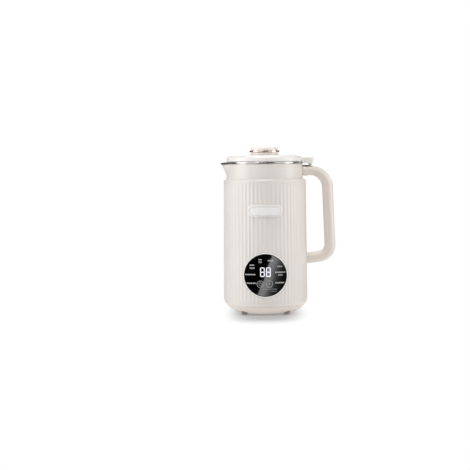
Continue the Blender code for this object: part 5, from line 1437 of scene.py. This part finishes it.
def resampled(ring, count):
    """The closed outline again, with equally spaced points."""
    lengths = [math.hypot(b[0] - a[0], b[1] - a[1]) for a, b in zip(ring, ring[1:] + ring[:1])]
    total = sum(lengths)
    points = []
    for i in range(count):
        wanted = total * i / count
        j = 0
        while wanted > lengths[j]:
            wanted -= lengths[j]
            j += 1
        (x1, z1), (x2, z2) = ring[j], ring[(j + 1) % len(ring)]
        share = wanted / lengths[j]
        points.append((x1 + (x2 - x1) * share, z1 + (z2 - z1) * share))
    return points


def fill_bent(points, faces, first, backwards):
    """Closes a bent ring with upright strips between its upper and lower halves."""
    ring = list(range(first, first + PLATE_POINTS))
    order = sorted(ring, key=lambda i: points[i][0])
    left = ring.index(order[0])
    ring = ring[left:] + ring[:left]
    right = ring.index(order[-1])
    upper = ring[: right + 1]
    lower = [ring[0]] + ring[right:][::-1]
    i = j = 0
    while i < len(upper) - 1 or j < len(lower) - 1:
        upper_open = i < len(upper) - 1
        lower_open = j < len(lower) - 1
        if not lower_open or (upper_open and points[upper[i + 1]][0] <= points[lower[j + 1]][0]):
            face = (upper[i], lower[j], upper[i + 1])
            i += 1
        else:
            face = (upper[i], lower[j], lower[j + 1])
            j += 1
        if len(set(face)) == 3:
            faces.append(face[::-1] if backwards else face)


def make_name_plate():
    """The plate's frame, with a hollow in its front, and the inset in the hollow."""
    rows = [(*FRAME_SIZES, FRAME_DEPTH, 0)]
    rows += edge_rows(*FRAME_SIZES, FRAME_EDGE)
    rows += edge_rows(*FRAME_HOLLOW, CRISP, INSET_DROP, -1)
    rows.append((*FRAME_HOLLOW, FRAME_HOLLOW_DEPTH, INSET_DROP))
    finish(bent_plate("plate_frame", rows), "lid_plastic", "housing", ["name_plate"])
    rows = [(*INSET_SIZES, INSET_DEPTH, INSET_DROP)]
    rows += edge_rows(*INSET_SIZES, INSET_EDGE, INSET_DROP)
    finish(bent_plate("plate_face", rows), "pale_plate", "housing")


# Inlet.


def make_inlet():
    """The power inlet, with its shaped socket and three flat contacts."""
    plan = rectangle(INLET_HALF_WIDTH, INLET_HALF_HEIGHT, INLET_CORNER, (0, INLET_Z))
    inlet = new_object("inlet", prism("inlet", plan, INLET_BACK, INLET_FACE, "y"))
    bevelled(inlet, INLET_ROUND, 3)
    side = INLET_HALF_WIDTH - SOCKET_MARGIN
    bottom = INLET_Z - INLET_HALF_HEIGHT + SOCKET_MARGIN
    top = INLET_Z + INLET_HALF_HEIGHT - SOCKET_MARGIN
    plan = [
        (-side, bottom, SOCKET_CORNER),
        (side, bottom, SOCKET_CORNER),
        (side, top - SOCKET_CHAMFER, SOCKET_CORNER),
        (side - SOCKET_CHAMFER, top, SOCKET_CORNER),
        (-side + SOCKET_CHAMFER, top, SOCKET_CORNER),
        (-side, top - SOCKET_CHAMFER, SOCKET_CORNER),
    ]
    combined(inlet, [prism("socket", rounded(plan), *SOCKET_CUT, "y")])
    finish(inlet, "dark_plastic", "housing", ["power_inlet"])
    for i in range(1, 4):
        low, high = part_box(f"inlet_pin_{i}")
        size = (high - low) / MM
        middle = ((low + high) / 2 - Vector((AXIS_X, 0, 0))) / MM
        plan = rectangle(size.x / 2, size.z / 2, CONTACT_CORNER, (middle.x, middle.z), 3)
        name = f"contact_pin_{i}"
        contact = new_object(name, prism(name, plan, low.y / MM, high.y / MM, "y"))
        bevelled(contact, CONTACT_ROUND, 3)
        finish(contact, "brass", "housing", [f"inlet_pin_{i}"])


def dress_cad_nodes():
    """Gives the CAD nodes the finishes of their own slots, for those that no piece replaces."""
    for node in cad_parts.values():
        for i, material in enumerate(node.data.materials):
            slot = material.name.split(".")[0]
            node.data.materials[i] = MATERIALS[slot]


# Stage.


def bare_material(name):
    """A material without a surface. Returns it, its tree and the socket that its surface goes to."""
    material = bpy.data.materials.new(name)
    material.use_nodes = True
    nodes = material.node_tree.nodes
    nodes.remove(nodes["Principled BSDF"])
    return material, Tree(material.node_tree), nodes["Material Output"].inputs["Surface"]


def stage_mesh(name, points, faces, material):
    mesh = bpy.data.meshes.new(name)
    mesh.from_pydata(points, [], faces)
    mesh.materials.append(material)
    return new_object(name, mesh)


def make_floor():
    """A floor that keeps the object's shadow on grey paper and turns plain white further out. Over an
    ellipse round the object the paper is grey whatever the light, which is painted shadow.
    """
    material, tree, surface = bare_material("floor_paper")
    # Painted shadow: this grey paper, with the faint glow added to it, is what the floor shows all over the
    # ellipse, in light and in the lamps' real shadow alike.
    paper = tree.node("ShaderNodeBsdfDiffuse", {"Color": FLOOR_SHADE_PAPER})
    lift = tree.node("ShaderNodeEmission", {"Color": WHITE, "Strength": FLOOR_LIFT})
    near = tree.node("ShaderNodeAddShader", {0: paper.outputs[0], 1: lift.outputs[0]})
    white = tree.node("ShaderNodeEmission", {"Color": WHITE, "Strength": 1.0})
    place = tree.node("ShaderNodeSeparateXYZ", {0: tree.node("ShaderNodeTexCoord").outputs["Object"]})
    aside = tree.math("ABSOLUTE", place.outputs[0])
    forward = tree.math("MULTIPLY", place.outputs[1], -1.0)
    total = 0.0
    for reach, along in ((SHADE_ASIDE, aside), (SHADE_FRONT, forward), (-SHADE_BACK, forward)):
        share = tree.math("MAXIMUM", tree.math("DIVIDE", along, reach), 0.0)
        total = tree.math("ADD", tree.math("POWER", share, SHADE_POWER), total)
    distance = tree.math("POWER", total, 1 / SHADE_POWER)
    # Share of painted shadow over the ellipse: full within SHADE_FULL of its reach, none past it, where the
    # floor is plain white.
    shade = tree.spread(distance, SHADE_FULL, 1.0, 1.0, 0.0, "SMOOTHSTEP")
    seen_floor = tree.node("ShaderNodeMixShader", {0: shade, 1: white.outputs[0], 2: near.outputs[0]})
    rays = tree.node("ShaderNodeLightPath").outputs
    seen = tree.math("MAXIMUM", rays["Is Camera Ray"], rays["Is Glossy Ray"])
    glow = tree.node("ShaderNodeEmission", {"Color": FLOOR_GLOW, "Strength": FLOOR_BOUNCE})
    bounce = tree.node("ShaderNodeAddShader", {0: paper.outputs[0], 1: glow.outputs[0]})
    shown = tree.node("ShaderNodeMixShader", {0: seen, 1: bounce.outputs[0], 2: seen_floor.outputs[0]})
    tree.feed(surface, shown.outputs[0])
    reach = FLOOR_REACH
    corners = [(-reach, -reach, 0), (reach, -reach, 0), (reach, reach, 0), (-reach, reach, 0)]
    floor = stage_mesh("floor", corners, [(0, 1, 2, 3)], material)
    floor.location.x = AXIS_X


def card_material(name, colour, make_strength=None):
    """A plain light surface, whose strength is 1 where nothing is given that makes it from the place."""
    material, tree, surface = bare_material(name)
    strength = make_strength(tree) if make_strength else 1.0
    light = tree.node("ShaderNodeEmission", {"Color": (*colour, 1), "Strength": strength})
    tree.feed(surface, light.outputs[0])
    return material


def make_card(name, material, start, end, low, high, steps=CARD_STEPS, top=None):
    """A curved card round the body's axis that only reflections see. Its low and high edges are (distance,
    height), and top, where given, is the height of the high edge at an angle."""
    points = []
    for i in range(steps + 1):
        degrees = start + (end - start) * i / steps
        turn = math.radians(degrees)
        for radius, z in (low, (high[0], top(degrees)) if top else high):
            points.append((AXIS_X + radius * math.sin(turn), -radius * math.cos(turn), z))
    faces = [(2 * i, 2 * i + 1, 2 * i + 3, 2 * i + 2) for i in range(steps)]
    card = stage_mesh(name, points, faces, material)
    for visibility in ("camera", "diffuse", "transmission", "shadow", "volume_scatter"):
        setattr(card, "visible_" + visibility, False)


def glow_strength(tree):
    """The strength of the bright card at a place, from the degrees between it and the slanted start."""
    x, y, z = tree.about_axis(tree.node("ShaderNodeTexCoord").outputs["Object"], AXIS_X)
    turn = tree.math("ARCTAN2", x, tree.math("MULTIPLY", y, -1.0))
    turn = tree.math("MULTIPLY", turn, math.degrees(1))
    rise = tree.math("MULTIPLY", tree.math("SUBTRACT", z, GLOW_LOW[1]), GLOW_SLOPE)
    past = tree.math("SUBTRACT", tree.math("SUBTRACT", turn, GLOW_LOW[0]), rise)
    strength = GLOW_FALL[0][1]
    for (start, level), (end, next_level) in zip(GLOW_FALL, GLOW_FALL[1:]):
        strength = tree.math("ADD", tree.spread(past, start, end, 0.0, next_level - level), strength)
    return strength


def glow_top(degrees):
    return min(GLOW_TOP, GLOW_LOW[1] + (degrees - GLOW_LOW[0]) / GLOW_SLOPE)


def make_cards():
    materials = {name: card_material(name, colour) for name, colour in CARD_COLOURS.items()}
    for name, colour, *shape in CARDS:
        make_card(name, materials[colour], *shape)
    glow = card_material("table_glow", (1, 1, 1), glow_strength)
    edges = ((GLOW_DISTANCE, SHEET_LIFT), (GLOW_DISTANCE, GLOW_TOP))
    make_card("table_glow", glow, *GLOW_SPAN, *edges, GLOW_STEPS, glow_top)


def make_lamp(name, azimuth, elevation, distance, width, height, power, colour):
    lamp = bpy.data.lights.new(name, "AREA")
    lamp.shape = "RECTANGLE"
    lamp.size = width
    lamp.size_y = height
    lamp.energy = power
    lamp.color = colour
    thing = new_object(name, lamp)
    a, e = math.radians(azimuth), math.radians(elevation)
    back = Vector((math.sin(a) * math.cos(e), -math.cos(a) * math.cos(e), math.sin(e)))
    thing.location = LAMP_AIM + back * distance
    thing.rotation_mode = "QUATERNION"
    thing.rotation_quaternion = (-back).to_track_quat("-Z", "Y")


def make_world():
    """White to the camera and in reflections, and soft light from all round for the rest."""
    world = bpy.context.scene.world or bpy.data.worlds.new("studio")
    bpy.context.scene.world = world
    world.use_nodes = True
    world.node_tree.nodes.clear()
    tree = Tree(world.node_tree)
    rays = tree.node("ShaderNodeLightPath").outputs
    seen = tree.math("MAXIMUM", rays["Is Camera Ray"], rays["Is Glossy Ray"])
    seen = tree.math("MAXIMUM", seen, rays["Is Transmission Ray"])
    level = tree.spread(rays["Is Glossy Ray"], 0.0, 1.0, 1.0, SHEEN)
    white = tree.node("ShaderNodeBackground", {"Color": WHITE, "Strength": level})
    soft = tree.node("ShaderNodeBackground", {"Color": AMBIENT_COLOUR, "Strength": AMBIENT})
    mixed = tree.node("ShaderNodeMixShader", {0: seen, 1: soft.outputs[0], 2: white.outputs[0]})
    output = tree.node("ShaderNodeOutputWorld")
    tree.feed(output.inputs["Surface"], mixed.outputs[0])


def make_camera():
    camera = bpy.data.cameras.new("camera")
    camera.lens = LENS
    camera.sensor_width = SENSOR_WIDTH
    thing = new_object("camera", camera)
    thing.location = CAMERA_PLACE
    pitch, yaw, roll = (math.radians(turn) for turn in CAMERA_TURN)
    turn = Matrix.Rotation(yaw, 3, "Z") @ Matrix.Rotation(math.pi / 2 - pitch, 3, "X")
    thing.rotation_euler = (turn @ Matrix.Rotation(roll, 3, "Z")).to_euler()
    bpy.context.scene.camera = thing


make_camera()
make_shell()
make_base()
make_feet_and_screws()
make_neck()
make_cup()
make_lid()
make_liner()
make_seal()
make_knob()
make_handle()
make_interlock()
make_handle_screw()
make_panel()
make_marks("panel_digits", "digit_light", [mark for digit in DIGITS for mark in digit_strokes(*digit)])
# The labels are print with a painted glow.
make_marks("panel_labels", "label_print", [mark for label in LABELS for mark in label_strokes(*label)])
make_marks("panel_keys", "key_print", key_strokes())
make_name_plate()
make_inlet()
dress_cad_nodes()
make_floor()
make_cards()
for lamp_name, lamp_values in LAMPS.items():
    make_lamp(lamp_name, *lamp_values)
make_world()
bpy.context.scene.view_settings.view_transform = "Standard"
